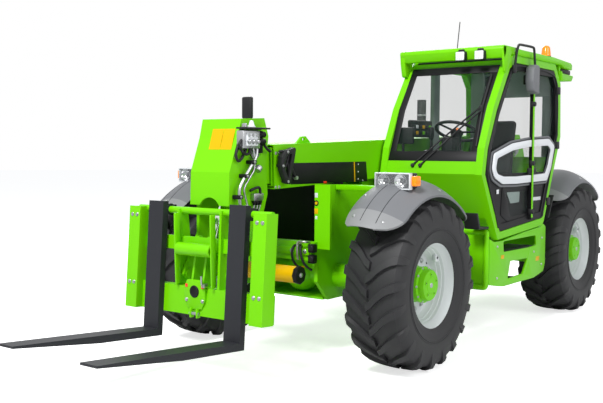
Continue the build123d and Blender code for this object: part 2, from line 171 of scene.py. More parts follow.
# %% Painted steel


def painted(name, colour, shade, gloss=0.34, coat=0.07):
    sheet = Sheet(name)
    cloud = sheet.noise(2.3, 2.0)
    peel = sheet.noise(420.0, 2.0)
    sheet.finish(Base_Color=sheet.blend(cloud * 0.5, colour, shade),
                 Roughness=gloss + cloud * 0.10)
    sheet.finish(Coat_Weight=coat, Coat_Roughness=0.12, Specular_IOR_Level=0.18)
    sheet.bump(peel, 0.06, 0.0006)
    return sheet.material


lime = painted("lime_enamel", (0.165, 0.60, 0.0), (0.145, 0.55, 0.0))
charcoal = painted("charcoal_enamel", (0.020, 0.021, 0.025), (0.030, 0.031, 0.036), 0.42, 0.0)
white_trim = painted("white_trim", (0.74, 0.76, 0.79), (0.68, 0.70, 0.73), 0.32, 0.1)
silver = painted("silver_enamel", (0.66, 0.68, 0.70), (0.60, 0.62, 0.64), 0.36, 0.1)
yellow = painted("yellow_enamel", (0.70, 0.40, 0.0), (0.64, 0.36, 0.0))
black_paint = painted("black_enamel", (0.005, 0.005, 0.006), (0.009, 0.009, 0.010), 0.40, 0.0)
liner_grey = painted("cab_liner", (0.30, 0.36, 0.34), (0.25, 0.31, 0.29), 0.6, 0.0)

# %% [markdown]
# Moulded plastic is coarser: its grain is a leather-like relief that breaks the highlight
# into a soft sheen. Cells from a Voronoi texture give that grain.

# %% Moulded plastic


def moulded(name, colour, shade, gloss=0.5, grain=700.0):
    sheet = Sheet(name)
    cloud = sheet.noise(3.0, 3.0)
    cells = sheet.node("ShaderNodeTexVoronoi", {"feature": "SMOOTH_F1"},
                       {"Vector": sheet.place, "Scale": grain})
    sheet.finish(Base_Color=sheet.blend(cloud, colour, shade), Roughness=gloss + cloud * 0.12,
                 Specular_IOR_Level=0.3)
    sheet.bump(cells, 0.25, 0.0008)
    return sheet.material


fender_grey = moulded("fender_plastic", (0.135, 0.140, 0.150), (0.165, 0.170, 0.180), 0.45)
lip_grey = moulded("fender_lip", (0.21, 0.215, 0.22), (0.24, 0.245, 0.25), 0.45)
dark_plastic = moulded("dark_plastic", (0.008, 0.008, 0.009), (0.014, 0.014, 0.016), 0.48)
seat_fabric = moulded("seat_fabric", (0.012, 0.012, 0.014), (0.022, 0.022, 0.025), 0.85, 260.0)

# %% [markdown]
# Tyre rubber is charcoal rather than black, mat, and a little dusty where it touches the
# ground. A fine noise in the relief keeps its highlights from looking like varnish.

# %% Tyre rubber


def rubber():
    sheet = Sheet("tyre_rubber")
    dust = sheet.noise(5.0, 4.0)
    fine = sheet.noise(260.0, 3.0)
    sheet.finish(Base_Color=sheet.blend(dust, (0.012, 0.012, 0.013), (0.022, 0.022, 0.024)),
                 Roughness=0.66 - (1 - dust) * 0.16, Specular_IOR_Level=0.35)
    sheet.bump(fine, 0.20, 0.0012)
    return sheet.material


tyre_black = rubber()

# %% [markdown]
# Bare metal comes in three looks here: plated fittings, hard-chromed rods and rough cast
# iron. They differ in roughness and relief more than in colour.

# %% Bare metal


def metal(name, colour, roughness, relief_scale, relief):
    sheet = Sheet(name)
    cloud = sheet.noise(14.0, 3.0)
    sheet.finish(Base_Color=sheet.blend(cloud, colour, [part * 0.85 for part in colour]),
                 Metallic=1.0, Roughness=roughness + cloud * 0.10)
    sheet.bump(sheet.noise(relief_scale, 4.0), relief, 0.0015)
    return sheet.material


plated = metal("zinc_plate", (0.46, 0.47, 0.48), 0.30, 300.0, 0.05)
chrome = metal("chromed_rod", (0.86, 0.87, 0.88), 0.07, 60.0, 0.01)
cast_iron = metal("cast_iron", (0.085, 0.085, 0.088), 0.55, 160.0, 0.5)

# %% [markdown]
# Window glass is nearly clear with a green tint. Where a pane is only seen through, alpha
# is kinder than refraction: light still reaches the seat behind it.

# %% Glass and lenses


def clear(name, colour, alpha, roughness=0.03, glow=0.0):
    sheet = Sheet(name)
    ripple = sheet.noise(9.0, 1.0)
    sheet.finish(Base_Color=colour, Alpha=alpha, Roughness=roughness, IOR=1.5)
    if glow:
        sheet.finish(Emission_Color=colour, Emission_Strength=glow)
    sheet.bump(ripple, 0.02, 0.001)
    return sheet.material


glass = clear("tinted_glass", (0.03, 0.06, 0.05), 0.09)
lamp_glass = clear("lamp_glass", (0.55, 0.57, 0.60), 0.12, 0.06)
led_white = clear("led_white", (0.80, 0.82, 0.84), 0.97, 0.2, 0.05)
# The amber and red lenses glow faintly by emission, a painted glow: the same finishes also dress a
# steering-wheel button, a console key, a seat knob and red marks that are no lamps.
amber = clear("amber_lens", (1.0, 0.24, 0.0), 0.95, 0.15, 0.25)
red = clear("red_lens", (0.75, 0.02, 0.01), 0.95, 0.15, 0.15)
mirror_face = metal("mirror_face", (0.90, 0.92, 0.93), 0.02, 20.0, 0.0)

# %% [markdown]
# Most of the machine is welded steel in the same green, so lime is the rule. The CAD nodes
# that keep their own shape and are made of something else are named here.

# %% Finish of the CAD nodes
finish_of = {
    "forks": charcoal, "engine_block": cast_iron, "counterweight": cast_iron,
    "fuel_tank": dark_plastic, "safety_bar": yellow, "cab_glass": glass, "door_glass": glass,
    "antenna": dark_plastic, "exhaust_stack": cast_iron, "rear_lamps": red,
    "tow_hitch": cast_iron, "lift_pin": plated, "lift_rod": chrome, "tilt_rod": chrome,
    "cab_door": black_paint,
}
for name, node in nodes.items():
    node.data.materials.clear()
    node.data.materials.append(finish_of.get(name, lime))
print("finished", len(nodes), "nodes")

# %% [markdown]
# Small parts are built in millimetres, one after another, into a single joined mesh for each
# moving body. A part is a rounded block, a turned profile, a plate cut from an outline, or a
# bolt. Rounded edges matter more than anything else here, because they catch the light.

# %% A mesh built part by part


def along(axis):
    """The turn that carries the Z axis onto another axis."""
    return Vector((0, 0, 1)).rotation_difference(Vector(axis)).to_matrix().to_4x4()


def soften(part, edges, width, steps=2):
    bmesh.ops.bevel(part, geom=edges, offset=width, offset_type="OFFSET", segments=steps,
                    profile=0.5, affect="EDGES", clamp_overlap=True, material=-1)


class Piece:
    """One joined mesh that rides on a body. Sizes are in millimetres until it is done."""

    def __init__(self, name, body):
        self.name = name
        self.body = body
        self.form = bmesh.new()
        self.finishes = []

    def take(self, part, finish, place=(0, 0, 0), turn=Matrix()):
        if finish not in self.finishes:
            self.finishes.append(finish)
        for face in part.faces:
            face.material_index = self.finishes.index(finish)
        bmesh.ops.transform(part, matrix=Matrix.Translation(place) @ turn, verts=part.verts)
        scrap = bpy.data.meshes.new("scrap")
        part.to_mesh(scrap)
        part.free()
        self.form.from_mesh(scrap)
        bpy.data.meshes.remove(scrap)

    def block(self, finish, low, high, edge=3.0, turn=Matrix(), steps=2):
        part = bmesh.new()
        bmesh.ops.create_cube(part, size=1.0)
        size = [top - bottom for bottom, top in zip(low, high)]
        bmesh.ops.scale(part, vec=size, verts=part.verts)
        soften(part, part.edges[:], edge, steps)
        middle = [(top + bottom) / 2 for bottom, top in zip(low, high)]
        self.take(part, finish, middle, turn)

    def turned(self, finish, profile, place, axis=(0, 0, 1), steps=32):
        """Spins a profile of (radius, height) points about an axis."""
        part = bmesh.new()
        points = [part.verts.new((radius, 0, height)) for radius, height in profile]
        edges = [part.edges.new(pair) for pair in zip(points, points[1:])]
        bmesh.ops.spin(part, geom=points + edges, cent=(0, 0, 0), axis=(0, 0, 1),
                       angle=math.tau, steps=steps, use_merge=True)
        bmesh.ops.remove_doubles(part, verts=part.verts, dist=0.01)
        self.take(part, finish, place, along(axis))

    def plate(self, finish, outlines, facing, low, high, edge=2.0, corner=0.0):
        """Cuts a plate from an outline, with any further outlines as holes."""
        part = bmesh.new()
        lift = {"x": Vector((1, 0, 0)), "y": Vector((0, 1, 0)), "z": Vector((0, 0, 1))}[facing]
        first, second = {"x": (1, 2), "y": (0, 2), "z": (0, 1)}[facing]
        for outline in outlines:
            spots = []
            for point in outline:
                spot = lift * low
                spot[first], spot[second] = point
                spots.append(part.verts.new(spot))
            for pair in zip(spots, spots[1:] + spots[:1]):
                part.edges.new(pair)
        bmesh.ops.triangle_fill(part, use_beauty=True, use_dissolve=True, edges=part.edges[:])
        pulled = bmesh.ops.extrude_face_region(part, geom=part.faces[:])
        fresh = [item for item in pulled["geom"] if isinstance(item, bmesh.types.BMVert)]
        bmesh.ops.translate(part, vec=lift * (high - low), verts=fresh)
        bmesh.ops.recalc_face_normals(part, faces=part.faces[:])
        if corner:
            upright = [line for line in part.edges
                       if abs((line.verts[0].co - line.verts[1].co).normalized().dot(lift)) > 0.99]
            soften(part, upright, corner, 4)
        if edge:
            hard = [line for line in part.edges if line.calc_face_angle(0) > 0.6]
            soften(part, hard, edge)
        self.take(part, finish)

    def bolt(self, place, axis, across=19.0, finish=None):
        """A hexagon head on a washer."""
        metal_finish = finish or plated
        radius = across / 1.73
        start = Vector(place)
        self.turned(metal_finish, [(0, 3), (radius * 1.25, 3), (radius * 1.35, 2), (radius * 1.35, -2)],
                    start, axis, 14)
        self.turned(metal_finish, [(0, across * 0.5), (radius * 0.85, across * 0.5),
                                   (radius, across * 0.42), (radius, 0)], start, axis, 6)

    def done(self, *stands_for):
        bmesh.ops.scale(self.form, vec=(0.001, 0.001, 0.001), verts=self.form.verts)
        bmesh.ops.recalc_face_normals(self.form, faces=self.form.faces[:])
        mesh = bpy.data.meshes.new(self.name)
        self.form.to_mesh(mesh)
        self.form.free()
        for finish in self.finishes:
            mesh.materials.append(finish)
        mesh.shade_smooth()
        mesh.set_sharp_from_angle(angle=math.radians(34))
        piece = bpy.data.objects.new(self.name, mesh)
        bpy.context.scene.collection.objects.link(piece)
        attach(piece, self.body)
        for node_name in stands_for:
            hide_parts(node_name)
        return piece


print("a piece can take blocks, turned parts, plates and bolts")

# %% [markdown]
# Hoses and bent tubes follow smooth lines, so they are curves with a round bevel. And a bolt
# has to sit on the steel under it: a ray is cast at the surface, and where it lands is the
# bolt's place.

# %% Bent tubes, and finding a surface


def pipes(name, body, finish, radius, runs, grade=3):
    """Bent tubes along smooth lines, given by a few points in millimetres each."""
    curve = bpy.data.curves.new(name, "CURVE")
    curve.dimensions = "3D"
    curve.bevel_depth = radius / 1000
    curve.bevel_resolution = grade
    curve.resolution_u = 6
    curve.use_fill_caps = True
    for run in runs:
        spline = curve.splines.new("NURBS")
        spline.points.add(len(run) - 1)
        for point, spot in zip(spline.points, run):
            point.co = (spot[0] / 1000, spot[1] / 1000, spot[2] / 1000, 1)
        spline.order_u = 3
        spline.use_endpoint_u = True
    curve.materials.append(finish)
    piece = bpy.data.objects.new(name, curve)
    bpy.context.scene.collection.objects.link(piece)
    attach(piece, body)
    return piece


def landing(target, start, direction):
    """Where a straight line from a point meets a CAD node or a piece, in millimetres."""
    thing = nodes[target] if target in nodes else bpy.data.objects[target]
    hit, spot, normal, _ = thing.ray_cast(Vector(start) / 1000, Vector(direction))
    return (spot * 1000, normal) if hit else (Vector(start), -Vector(direction))


print("tubes and landings ready")

# %% [markdown]
# The tyre is the piece that gives the machine its character. A carcass is spun from its
# cross-section, then forty bent lugs are laid on it: each follows a path from the middle of
# the tread over the shoulder and down the sidewall. The two rows are half a step apart.

# %% Lugged tyres
tyre_section = [
    (318, 168), (306, 190), (338, 205), (352, 212), (372, 213), (384, 219), (430, 224), (480, 224),
    (520, 219), (550, 209), (572, 192), (584, 150), (590, 90), (592, 30),
]
# Each row: across the tread, radius, lean to the side, height, lag round the wheel, half width
lug_path = [
    (-8, 592, 0.0, 27.0, 0, 27), (30, 592, 0.0, 27.0, 26, 28), (75, 590, 0.05, 27.5, 74, 30),
    (120, 587, 0.12, 28.0, 112, 31), (160, 581, 0.30, 27.5, 138, 32), (188, 573, 0.62, 25.0, 152, 32),
    (207, 553, 0.92, 18.0, 160, 31), (217, 522, 1.0, 9.5, 167, 29), (222, 484, 1.0, 3.5, 176, 27),
    (222, 456, 1.0, 0.2, 184, 24),
]
lugs_a_side = 20
tread_reach = 600
lug_root = -7.0
shoulder_reach = 560


def lug_form(side, start_angle):
    """One lug, lofted through four-cornered sections along its path."""
    part = bmesh.new()
    rows = []
    for across, radius, lean, height, lag, half in lug_path:
        out = Vector((0, side * lean, math.sqrt(1 - lean * lean)))
        row = []
        for offset, lift in ((-half - 7, lug_root), (-half + 3, height), (half - 3, height),
                             (half + 7, lug_root)):
            angle = start_angle + (lag + offset) / tread_reach
            reach = radius + out.z * lift
            row.append(part.verts.new((reach * math.cos(angle), side * across + out.y * lift,
                                       reach * math.sin(angle))))
        rows.append(row)
    for near, far in zip(rows, rows[1:]):
        for k in range(3):
            part.faces.new((near[k], near[k + 1], far[k + 1], far[k]))
    part.faces.new(rows[0])
    part.faces.new(rows[-1][::-1])
    crest = [line for line in part.edges
             if line.calc_face_angle(0) > 0.5 and max(v.co.length for v in line.verts) > shoulder_reach]
    soften(part, crest, 4.0, 1)
    return part


def wheel_place(corner):
    low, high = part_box(corner + "_tyre")
    return (low + high) * 500


def dress_tyre(corner):
    side = 1 if "left" in corner else -1
    centre = wheel_place(corner)
    step = math.tau / lugs_a_side
    tyre = Piece(corner + "_lugged_tyre", corner + "_wheel")
    inner = [(radius, -height) for radius, height in reversed(tyre_section)]
    tyre.turned(tyre_black, tyre_section + inner, centre, (0, 1, 0), 96)
    for number in range(lugs_a_side):
        for row in (1, -1):
            part = lug_form(row, number * step + (step / 2 if row * side > 0 else 0))
            tyre.take(part, tyre_black, centre)
    for radius in (398, 412):
        tyre.turned(tyre_black, [(radius - 4, side * 219), (radius - 2, side * 224),
                                 (radius + 2, side * 224), (radius + 4, side * 219)],
                    centre, (0, 1, 0), 96)
    return tyre.done(corner + "_tyre")


corners = ("front_left", "front_right", "rear_left", "rear_right")
for corner in corners:
    tyre = dress_tyre(corner)
print("tyre faces each:", len(tyre.data.polygons))

# %% [markdown]
# The rim steps inward to a deep disc, with nuts round the middle. The green drum of the final
# drive stands in it, with plugs and a ring of bolts on its face.

# %% Rims and final drives
rim_steps = [
    (306, 150), (318, 166), (322, 180), (328, 184), (328, 190), (318, 194), (311, 190), (303, 170),
    (297, 150), (293, 146), (286, 128), (281, 124), (275, 104), (270, 100), (262, 74), (257, 70),
    (250, 40), (238, 26), (216, 22), (160, 30), (150, 36), (132, 36),
]
rim_back = [(132, 20), (150, 18), (214, 6), (240, 8), (262, -60), (296, -150), (305, -186),
            (318, -194), (328, -190), (328, -184), (318, -166), (306, -150)]
drum_steps = [(136, 20), (136, 34), (129, 40), (127, 92), (132, 96), (132, 112), (124, 118),
              (117, 120), (114, 150), (108, 160), (60, 163), (58, 165), (0, 165)]


def dress_wheel(corner):
    side = 1 if "left" in corner else -1
    centre = wheel_place(corner)
    out = (0, side, 0)
    body = corner + "_wheel"
    rim = Piece(corner + "_stepped_rim", body)
    rim.turned(silver, rim_steps, centre, out, 64)
    rim.turned(silver, rim_back, centre, out, 64)
    for number in range(12):
        angle = math.tau * number / 12
        spot = centre + Vector((184 * math.cos(angle), side * 27, 184 * math.sin(angle)))
        rim.bolt(spot, out, 27.0)
    for number in range(6):
        angle = math.tau * (number + 0.4) / 6
        spot = centre + Vector((228 * math.cos(angle), side * 23.5, 228 * math.sin(angle)))
        rim.turned(black_paint, [(0, 0.8), (11, 0.8), (12, 0)], spot, out, 16)
    boss = centre + Vector((-196, side * 90, 176))
    rim.block(silver, boss - Vector((24, 16, 30)), boss + Vector((24, 16, 30)), 8)
    rim.turned(black_paint, [(0, 2), (9, 2), (10, 0)], boss + Vector((0, side * 16, 0)), out, 16)
    rim.turned(dark_plastic, [(0, 42), (5, 42), (6, 30), (9, 22), (9, 0)],
               centre + Vector((214, side * 60, 130)), out, 12)
    rim.done(corner + "_rim")
    drum = Piece(corner + "_final_drive", body)
    drum.turned(lime, drum_steps, centre, out, 48)
    drum.turned(lime, [(136, 20), (134, 0), (0, -5)], centre, out, 48)
    for number in range(5):
        angle = math.tau * number / 5 + 0.3
        spot = centre + Vector((78 * math.cos(angle), side * 162, 78 * math.sin(angle)))
        drum.turned(lime, [(0, 3), (12, 3), (14, 2), (14, -2)], spot, out, 16)
        drum.turned(black_paint, [(0, 3.4), (5, 3.4), (6, 2.8)], spot, out, 6)
    for number in range(10):
        angle = math.tau * number / 10
        spot = centre + Vector((124 * math.cos(angle), side * 113, 124 * math.sin(angle)))
        drum.bolt(spot, out, 14.0)
    drum.turned(plated, [(0, 168), (16, 168), (19, 165), (19, 160)], centre, out, 20)
    drum.done(corner + "_hub")


for corner in corners:
    dress_wheel(corner)
print("rims and drums on", len(corners), "wheels")

# %% [markdown]
# The boom's head carries the hydraulics that work the fork carriage: a silver valve block
# with solenoids under a dark shelf, and two pipes bent round the cheek. The pipes are rigid
# tubes, so each is a smooth curve through a few points.

# %% Hydraulics on the boom's head
head = Piece("head_hydraulics", "inner_section")
skin = landing("boom_inner", (1600, 400, 1650), (0, -1, 0))[0].y
head.block(dark_plastic, (1474, skin, 1726), (1742, skin + 88, 1738), 3)
head.block(plated, (1556, skin, 1592), (1738, skin + 62, 1716), 7)
head.block(silver, (1590, skin + 58, 1610), (1705, skin + 74, 1700), 5)
head.block(black_paint, (1498, skin, 1560), (1556, skin + 40, 1716), 5)
for level in (1642, 1690):
    head.turned(black_paint, [(0, 0), (18, 0), (21, 4), (21, 58), (18, 62)], (1492, skin + 46, level),
                (1, 0, 0), 20)
    head.turned(plated, [(0, -14), (8, -14), (9, -10), (9, 2)], (1492, skin + 46, level), (1, 0, 0), 14)
for spot_x in (1606, 1648, 1690):
    head.bolt((spot_x, skin + 74, 1684), (0, 1, 0), 15)
    head.turned(plated, [(0, 24), (11, 24), (13, 20), (13, 8), (16, 8), (16, 0)],
                (spot_x, skin + 70, 1640), (0, 1, 0), 16)
head.turned(silver, [(0, 48), (12, 46), (22, 12), (28, 6), (28, 0)], (1630, skin + 44, 1738), (0, 0, 1), 20)
head.turned(plated, [(0, 26), (14, 26), (18, 22), (18, 0)], (1700, skin + 40, 1738), (0, 0, 1), 18)
head.block(plated, (1484, skin, 1228), (1588, skin + 36, 1280), 4)
for spot_x in (1504, 1536, 1568):
    head.turned(black_paint, [(15, 0), (15, 14), (11, 18), (11, 30)], (spot_x, skin + 18, 1228),
                (0, 0, -1), 12)
head.turned(plated, [(24, -18), (26, -14), (26, 14), (24, 18), (0, 20)], (1555, skin + 44, 1452),
            (0.7, 0, -0.7), 20)
for spot in ((1614, 1498), (1690, 1404), (1757, 1262)):
    head.block(black_paint, (spot[0] - 24, skin, spot[1] - 14), (spot[0] + 24, skin + 62, spot[1] + 14), 5)
    head.bolt((spot[0], skin + 62, spot[1]), (0, 1, 0), 14)
head.plate(plated, [[(1500, 1590), (1600, 1590), (1600, 1560), (1560, 1510), (1500, 1540)]], "y",
           skin, skin + 8, 2, 6)
for spot in ((1478, 1690), (1478, 1560), (1478, 1440), (1640, 1240), (1640, 1560)):
    head.bolt((spot[0], skin, spot[1]), (0, 1, 0), 17, lime)
head.done()
print("head hydraulics on the skin at y =", round(skin))

# %% [markdown]
# From the valve block two plated pipes bend down the cheek, and thin black lines loop from
# the solenoids. They are fixed to the head and stiff, so they ride on its body.

# %% Pipes on the boom's head
pipes("head_pipes", "inner_section", plated, 12.0, [
    [(1566, skin + 40, 1594), (1570, skin + 44, 1539), (1614, skin + 44, 1493),
     (1650, skin + 44, 1450), (1745, skin + 44, 1346), (1762, skin + 44, 1290),
     (1749, skin + 44, 1208)],
])
pipes("head_thin_pipes", "inner_section", plated, 8.0, [
    [(1600, skin + 36, 1594), (1567, skin + 34, 1464), (1638, skin + 34, 1391),
     (1704, skin + 34, 1318), (1684, skin + 34, 1261), (1655, skin + 30, 1200)],
    [(1504, skin + 18, 1200), (1504, skin + 18, 1170), (1498, skin - 24, 1140)],
    [(1536, skin + 18, 1200), (1538, skin + 18, 1160), (1530, skin - 24, 1130)],
    [(1568, skin + 18, 1200), (1576, skin + 18, 1160), (1570, skin - 24, 1125)],
])
pipes("head_black_lines", "inner_section", dark_plastic, 10.0, [
    [(1736, skin + 46, 1650), (1768, skin + 44, 1622), (1742, skin + 42, 1586), (1690, skin + 40, 1548),
     (1640, skin + 38, 1560), (1640, skin + 38, 1594)],
    [(1736, skin + 20, 1620), (1772, skin + 20, 1560), (1748, skin + 20, 1500), (1700, skin + 20, 1520),
     (1660, skin + 20, 1592)],
    [(1626, skin + 30, 1301), (1572, skin + 34, 1322), (1518, skin + 34, 1321),
     (1518, skin + 30, 1278)],
    [(1494, skin + 46, 1620), (1452, skin + 40, 1580), (1405, skin + 30, 1574)],
])
print("pipes on the head ready")

# %% [markdown]
# Two yellow plates sit high on the head's leaning face, and are left blank here. Two rays
# find points on that face, and the line between them gives the plates their lean.

# %% Blank plates on the boom's head
plate_low =landing("boom_inner", (2300, 40, 1590), (-1, 0, 0))[0]
plate_high = landing("boom_inner", (2300, 40, 1722), (-1, 0, 0))[0]
rise = plate_high - plate_low
lean = Matrix.Rotation(math.atan2(rise.x, rise.z), 4, "Y")
signs = Piece("head_blank_plates", "inner_section")
for low, high in ((-64, 38), (42, 144)):
    centre = (plate_low + plate_high) / 2 + Vector((0.5, 0, 0))
    half = Vector((1.6, (high - low) / 2, rise.length / 2 + 6))
    centre.y = (low + high) / 2
    signs.block(yellow, centre - half, centre + half, 1.0, lean, 1)
signs.done()
print("plates lean over", round(rise.length), "mm of the head's face")

# %% [markdown]
# The boom's side has a dark painted band, left blank, with one thin yellow stripe. A flat
# hoop in front of it guards the hoses where they go into the telescope.

# %% Boom band, hose guard and wear pads
side_y = landing("boom_outer", (700, 400, 1420), (0, -1, 0))[0].y
boom = Piece("boom_fittings", "boom")
boom.plate(black_paint, [[(1164, 1488), (132, 1492), (109, 1327), (1150, 1330)]], "y",
           side_y - 2, side_y + 1.5, 0.5)
boom.plate(yellow, [[(317, 1490), (303, 1490), (292, 1329), (306, 1329)]], "y", side_y, side_y + 2.4, 0.4)
for spot in ((250, 1470), (250, 1410), (250, 1350), (180, 1338)):
    boom.turned(silver, [(0, 2), (5, 2), (6, 0)], (spot[0], side_y + 1, spot[1]), (0, 1, 0), 12)
boom.block(red, (696, side_y - 2, 1326), (738, side_y + 2, 1344), 0.8)
boom.plate(dark_plastic, [
    [(1229, 1334), (1268, 1344), (1310, 1408), (1334, 1468), (1324, 1540), (1276, 1584),
     (1230, 1590), (1181, 1604), (1166, 1588)],
    [(1243, 1374), (1264, 1392), (1288, 1440), (1294, 1492), (1266, 1544), (1211, 1560)],
], "y", side_y + 16, side_y + 58, 5, 8)
for spot in ((1262, 1570), (1316, 1470), (1256, 1356)):
    boom.bolt((spot[0], side_y + 58, spot[1]), (0, 1, 0), 14)
    boom.turned(dark_plastic, [(10, 0), (10, 60)], (spot[0], side_y - 4, spot[1]), (0, 1, 0), 12)
boom.turned(plated, [(0, 30), (13, 30), (15, 26), (15, 0)], (1192, side_y, 1478), (0, 1, 0), 16)
boom.turned(plated, [(0, 30), (13, 30), (15, 26), (15, 0)], (1111, side_y, 1379), (0, 1, 0), 16)
ear_back = landing("boom_outer", (840, 150, 2200), (0, 0, -1))[0].z
ear_front = landing("boom_outer", (1030, 150, 2200), (0, 0, -1))[0].z
boom.plate(lime, [[(836, ear_back - 6), (1032, ear_front - 6), (962, ear_front + 52), (908, ear_back + 50)],
                  [(920, ear_back + 16), (950, ear_back + 16), (950, ear_back + 34), (920, ear_back + 34)]],
           "y", 138, 152, 2, 7)
for level in (1316, 1560):
    for spot_x in (1290, 1330):
        boom.bolt((spot_x, side_y, level), (0, 1, 0), 16)
        boom.bolt((spot_x, -side_y, level), (0, -1, 0), 16)
boom.done()
pipes("boom_lines", "boom", dark_plastic, 9.0, [
    [(1276, side_y + 22, 1576), (1246, side_y + 30, 1520), (1216, side_y + 34, 1440),
     (1236, side_y + 26, 1360)],
    [(1200, side_y + 22, 1580), (1232, side_y + 34, 1500), (1290, side_y + 30, 1430),
     (1262, side_y + 20, 1362)],
    [(1320, side_y + 20, 1572), (1290, side_y + 34, 1580), (1250, side_y + 30, 1560),
     (1180, side_y + 14, 1480), (1111, side_y + 14, 1379)],
])
tail = Piece("boom_tail_fittings", "boom")
for offset in (-80, 0, 80):
    tail.bolt((-2500 + offset, side_y, 1640), (0, 1, 0), 20)
    tail.bolt((-2500 + offset, -side_y, 1640), (0, -1, 0), 20)
tail.done()
print("boom side at y =", round(side_y))

# %% [markdown]
# The fork carriage hangs on the head. Two thin ribs run down behind it, a lock pin with a bent
# handle holds the attachment, and each fork has a hook over the top bar.

# %% Carriage details
carriage = Piece("carriage_fittings", "carriage")
for y in (-166, 166):
    carriage.plate(lime, [[(1986, 1150), (1940, 1150), (1936, 1060), (1930, 900), (1930, 660),
                           (1972, 652), (1982, 900)]], "y", y - 6, y + 6, 2, 6)
carriage.turned(lime, [(40, -158), (44, -154), (44, 154), (40, 158), (34, 158), (34, 60)],
                (1956, 0, 905), (0, 1, 0), 28)
front = landing("carriage_frame", (2300, 60, 560), (-1, 0, 0))[0].x
carriage.plate(lime, [[(-70, 700), (70, 700), (96, 640), (96, 560), (60, 500), (-60, 500), (-96, 560),
                       (-96, 640)]], "x", front - 4, front + 16, 3, 14)
carriage.turned(black_paint, [(0, 1), (30, 1), (34, 3), (38, 6), (42, 3), (42, -4)], (front + 16, 0, 620),
                (1, 0, 0), 28)
for y in (-74, 74):
    carriage.block(red, (front + 14, y - 12, 645), (front + 17.5, y + 12, 669), 1.5)
    carriage.bolt((front + 16, y, 560), (1, 0, 0), 17)
carriage.block(plated, (front - 4, 78, 655), (front + 34, 108, 683), 5)
for side in (-1, 1):
    carriage.block(lime, (front - 6, side * 30 - 8, 440), (front + 30, side * 30 + 8, 506), 5)
    for y in (side * 556, side * 602):
        for level in (1120, 640):
            spot, normal = landing("carriage_frame", (2300, y, level), (-1, 0, 0))
            carriage.bolt(spot, normal, 18)
carriage.turned(plated, [(0, -44), (12, -44), (12, 44), (0, 44)], (front + 14, 0, 470), (0, 1, 0), 16)
carriage.done()
pipes("lock_pin", "carriage", plated, 7.0, [
    [(front + 24, 93, 669), (front + 40, 93, 669), (front + 46, 93, 700), (front + 46, 93, 736)],
])
top_x = landing("forks", (2400, 378, 1120), (-1, 0, 0))[0].x
fork_trim = Piece("fork_hooks", "carriage")
for side in (-1, 1):
    y = side * 378
    fork_trim.block(black_paint, (top_x - 150, y - 62, 1150), (top_x - 52, y + 62, 1196), 9)
    fork_trim.plate(black_paint, [[(top_x - 150, 1196), (top_x - 50, 1200), (top_x - 44, 1150),
                                   (top_x - 80, 1130), (top_x - 96, 1158), (top_x - 130, 1158),
                                   (top_x - 142, 1110), (top_x - 168, 1118)]], "y", y - 40, y + 40, 3, 5)
    fork_trim.turned(plated, [(0, 26), (9, 26), (10, 22), (10, 0)], (top_x - 100, y, 1196), (0, 0, 1), 16)
    fork_trim.block(black_paint, (top_x - 190, y - 50, 470), (top_x - 118, y + 50, 520), 7)
fork_trim.done()
print("carriage front at x =", round(front))

# %% [markdown]
# The front of the chassis shows between the wheels: a coupler with silver pipes, two black
# sockets, blank stickers, and the yellow bar's dark ends.

# %% Chassis front
chassis = Piece("chassis_front_fittings", "chassis")
for side in (-1, 1):
    spot = landing("safety_bar", (1225, side * 500, 680), (0, -side, 0))[0]
    chassis.turned(black_paint, [(0, 22), (60, 22), (68, 16), (68, -10)], spot, (0, side, 0), 8)
    chassis.bolt(spot + Vector((0, side * 22, 0)), (0, side, 0), 24)
for level, finish, half in ((1249, silver, 17), (1130, yellow, 20), (1082, silver, 12)):
    spot = landing("chassis_frame", (1800, 318, level), (-1, 0, 0))[0]
    chassis.block(finish, (spot.x - 2, 315 - half * 0.8, level - half),
                  (spot.x + 1.5, 315 + half * 0.8, level + half), 1)
spot = landing("chassis_frame", (1800, 315, 1190), (-1, 0, 0))[0]
chassis.turned(black_paint, [(0, 1.2), (20, 1.2), (22, 0)], (spot.x, 315, 1190), (1, 0, 0), 24)
chassis.turned(yellow, [(0, 2), (11, 2), (12, 1)], (spot.x, 315, 1190), (1, 0, 0), 20)
wall = landing("chassis_frame", (1800, 0, 760), (-1, 0, 0))[0].x
inner_y = landing("chassis_frame", (240, 0, 960), (0, -1, 0))[0].y
# A thin black sheet on the inner face of the right side plate is painted shade: it darkens the hollow between
# the frame plates.
chassis.block(black_paint, (-500, inner_y - 1, 780), (950, inner_y + 3, 1296), 1)
chassis.block(lime, (wall - 6, -290, 800), (wall + 14, 290, 856), 4)
for y in (-250, -130, 130, 250):
    chassis.bolt((wall + 14, y, 828), (1, 0, 0), 22)
for level in (780, 860):
    chassis.block(black_paint, (wall - 8, 298, level - 34), (wall + 44, 352, level + 30), 8)
    chassis.turned(dark_plastic, [(0, 4), (18, 4), (22, 0)], (wall + 44, 325, level), (1, 0, 0), 16)
chassis.turned(plated, [(0, 40), (12, 40), (16, 32), (16, 0)], (wall + 14, 210, 880), (1, 0, 0), 16)
chassis.done()
pipes("chassis_front_lines", "chassis", plated, 9.0, [
    [(wall - 4, 286, 900), (wall + 44, 286, 905), (wall + 54, 240, 905), (wall + 54, 214, 900),
     (wall + 50, 208, 880), (wall + 50, 206, 800), (wall + 30, 200, 770)],
])
pipes("chassis_front_black_lines", "chassis", dark_plastic, 9.0, [
    [(wall + 30, 220, 880), (wall + 60, 240, 820), (wall + 40, 270, 720), (wall - 20, 290, 690)],
    [(wall - 4, 150, 870), (wall + 46, 150, 860), (wall + 46, 160, 740), (wall - 10, 180, 700)],
])
print("chassis face at x =", round(wall))

# %% [markdown]
# Headlamps are boxes of glass with bright bowls inside. The bowl is what one sees, so it is a
# turned reflector behind a clear pane, in a dark frame that wraps the corner of the mudguard.

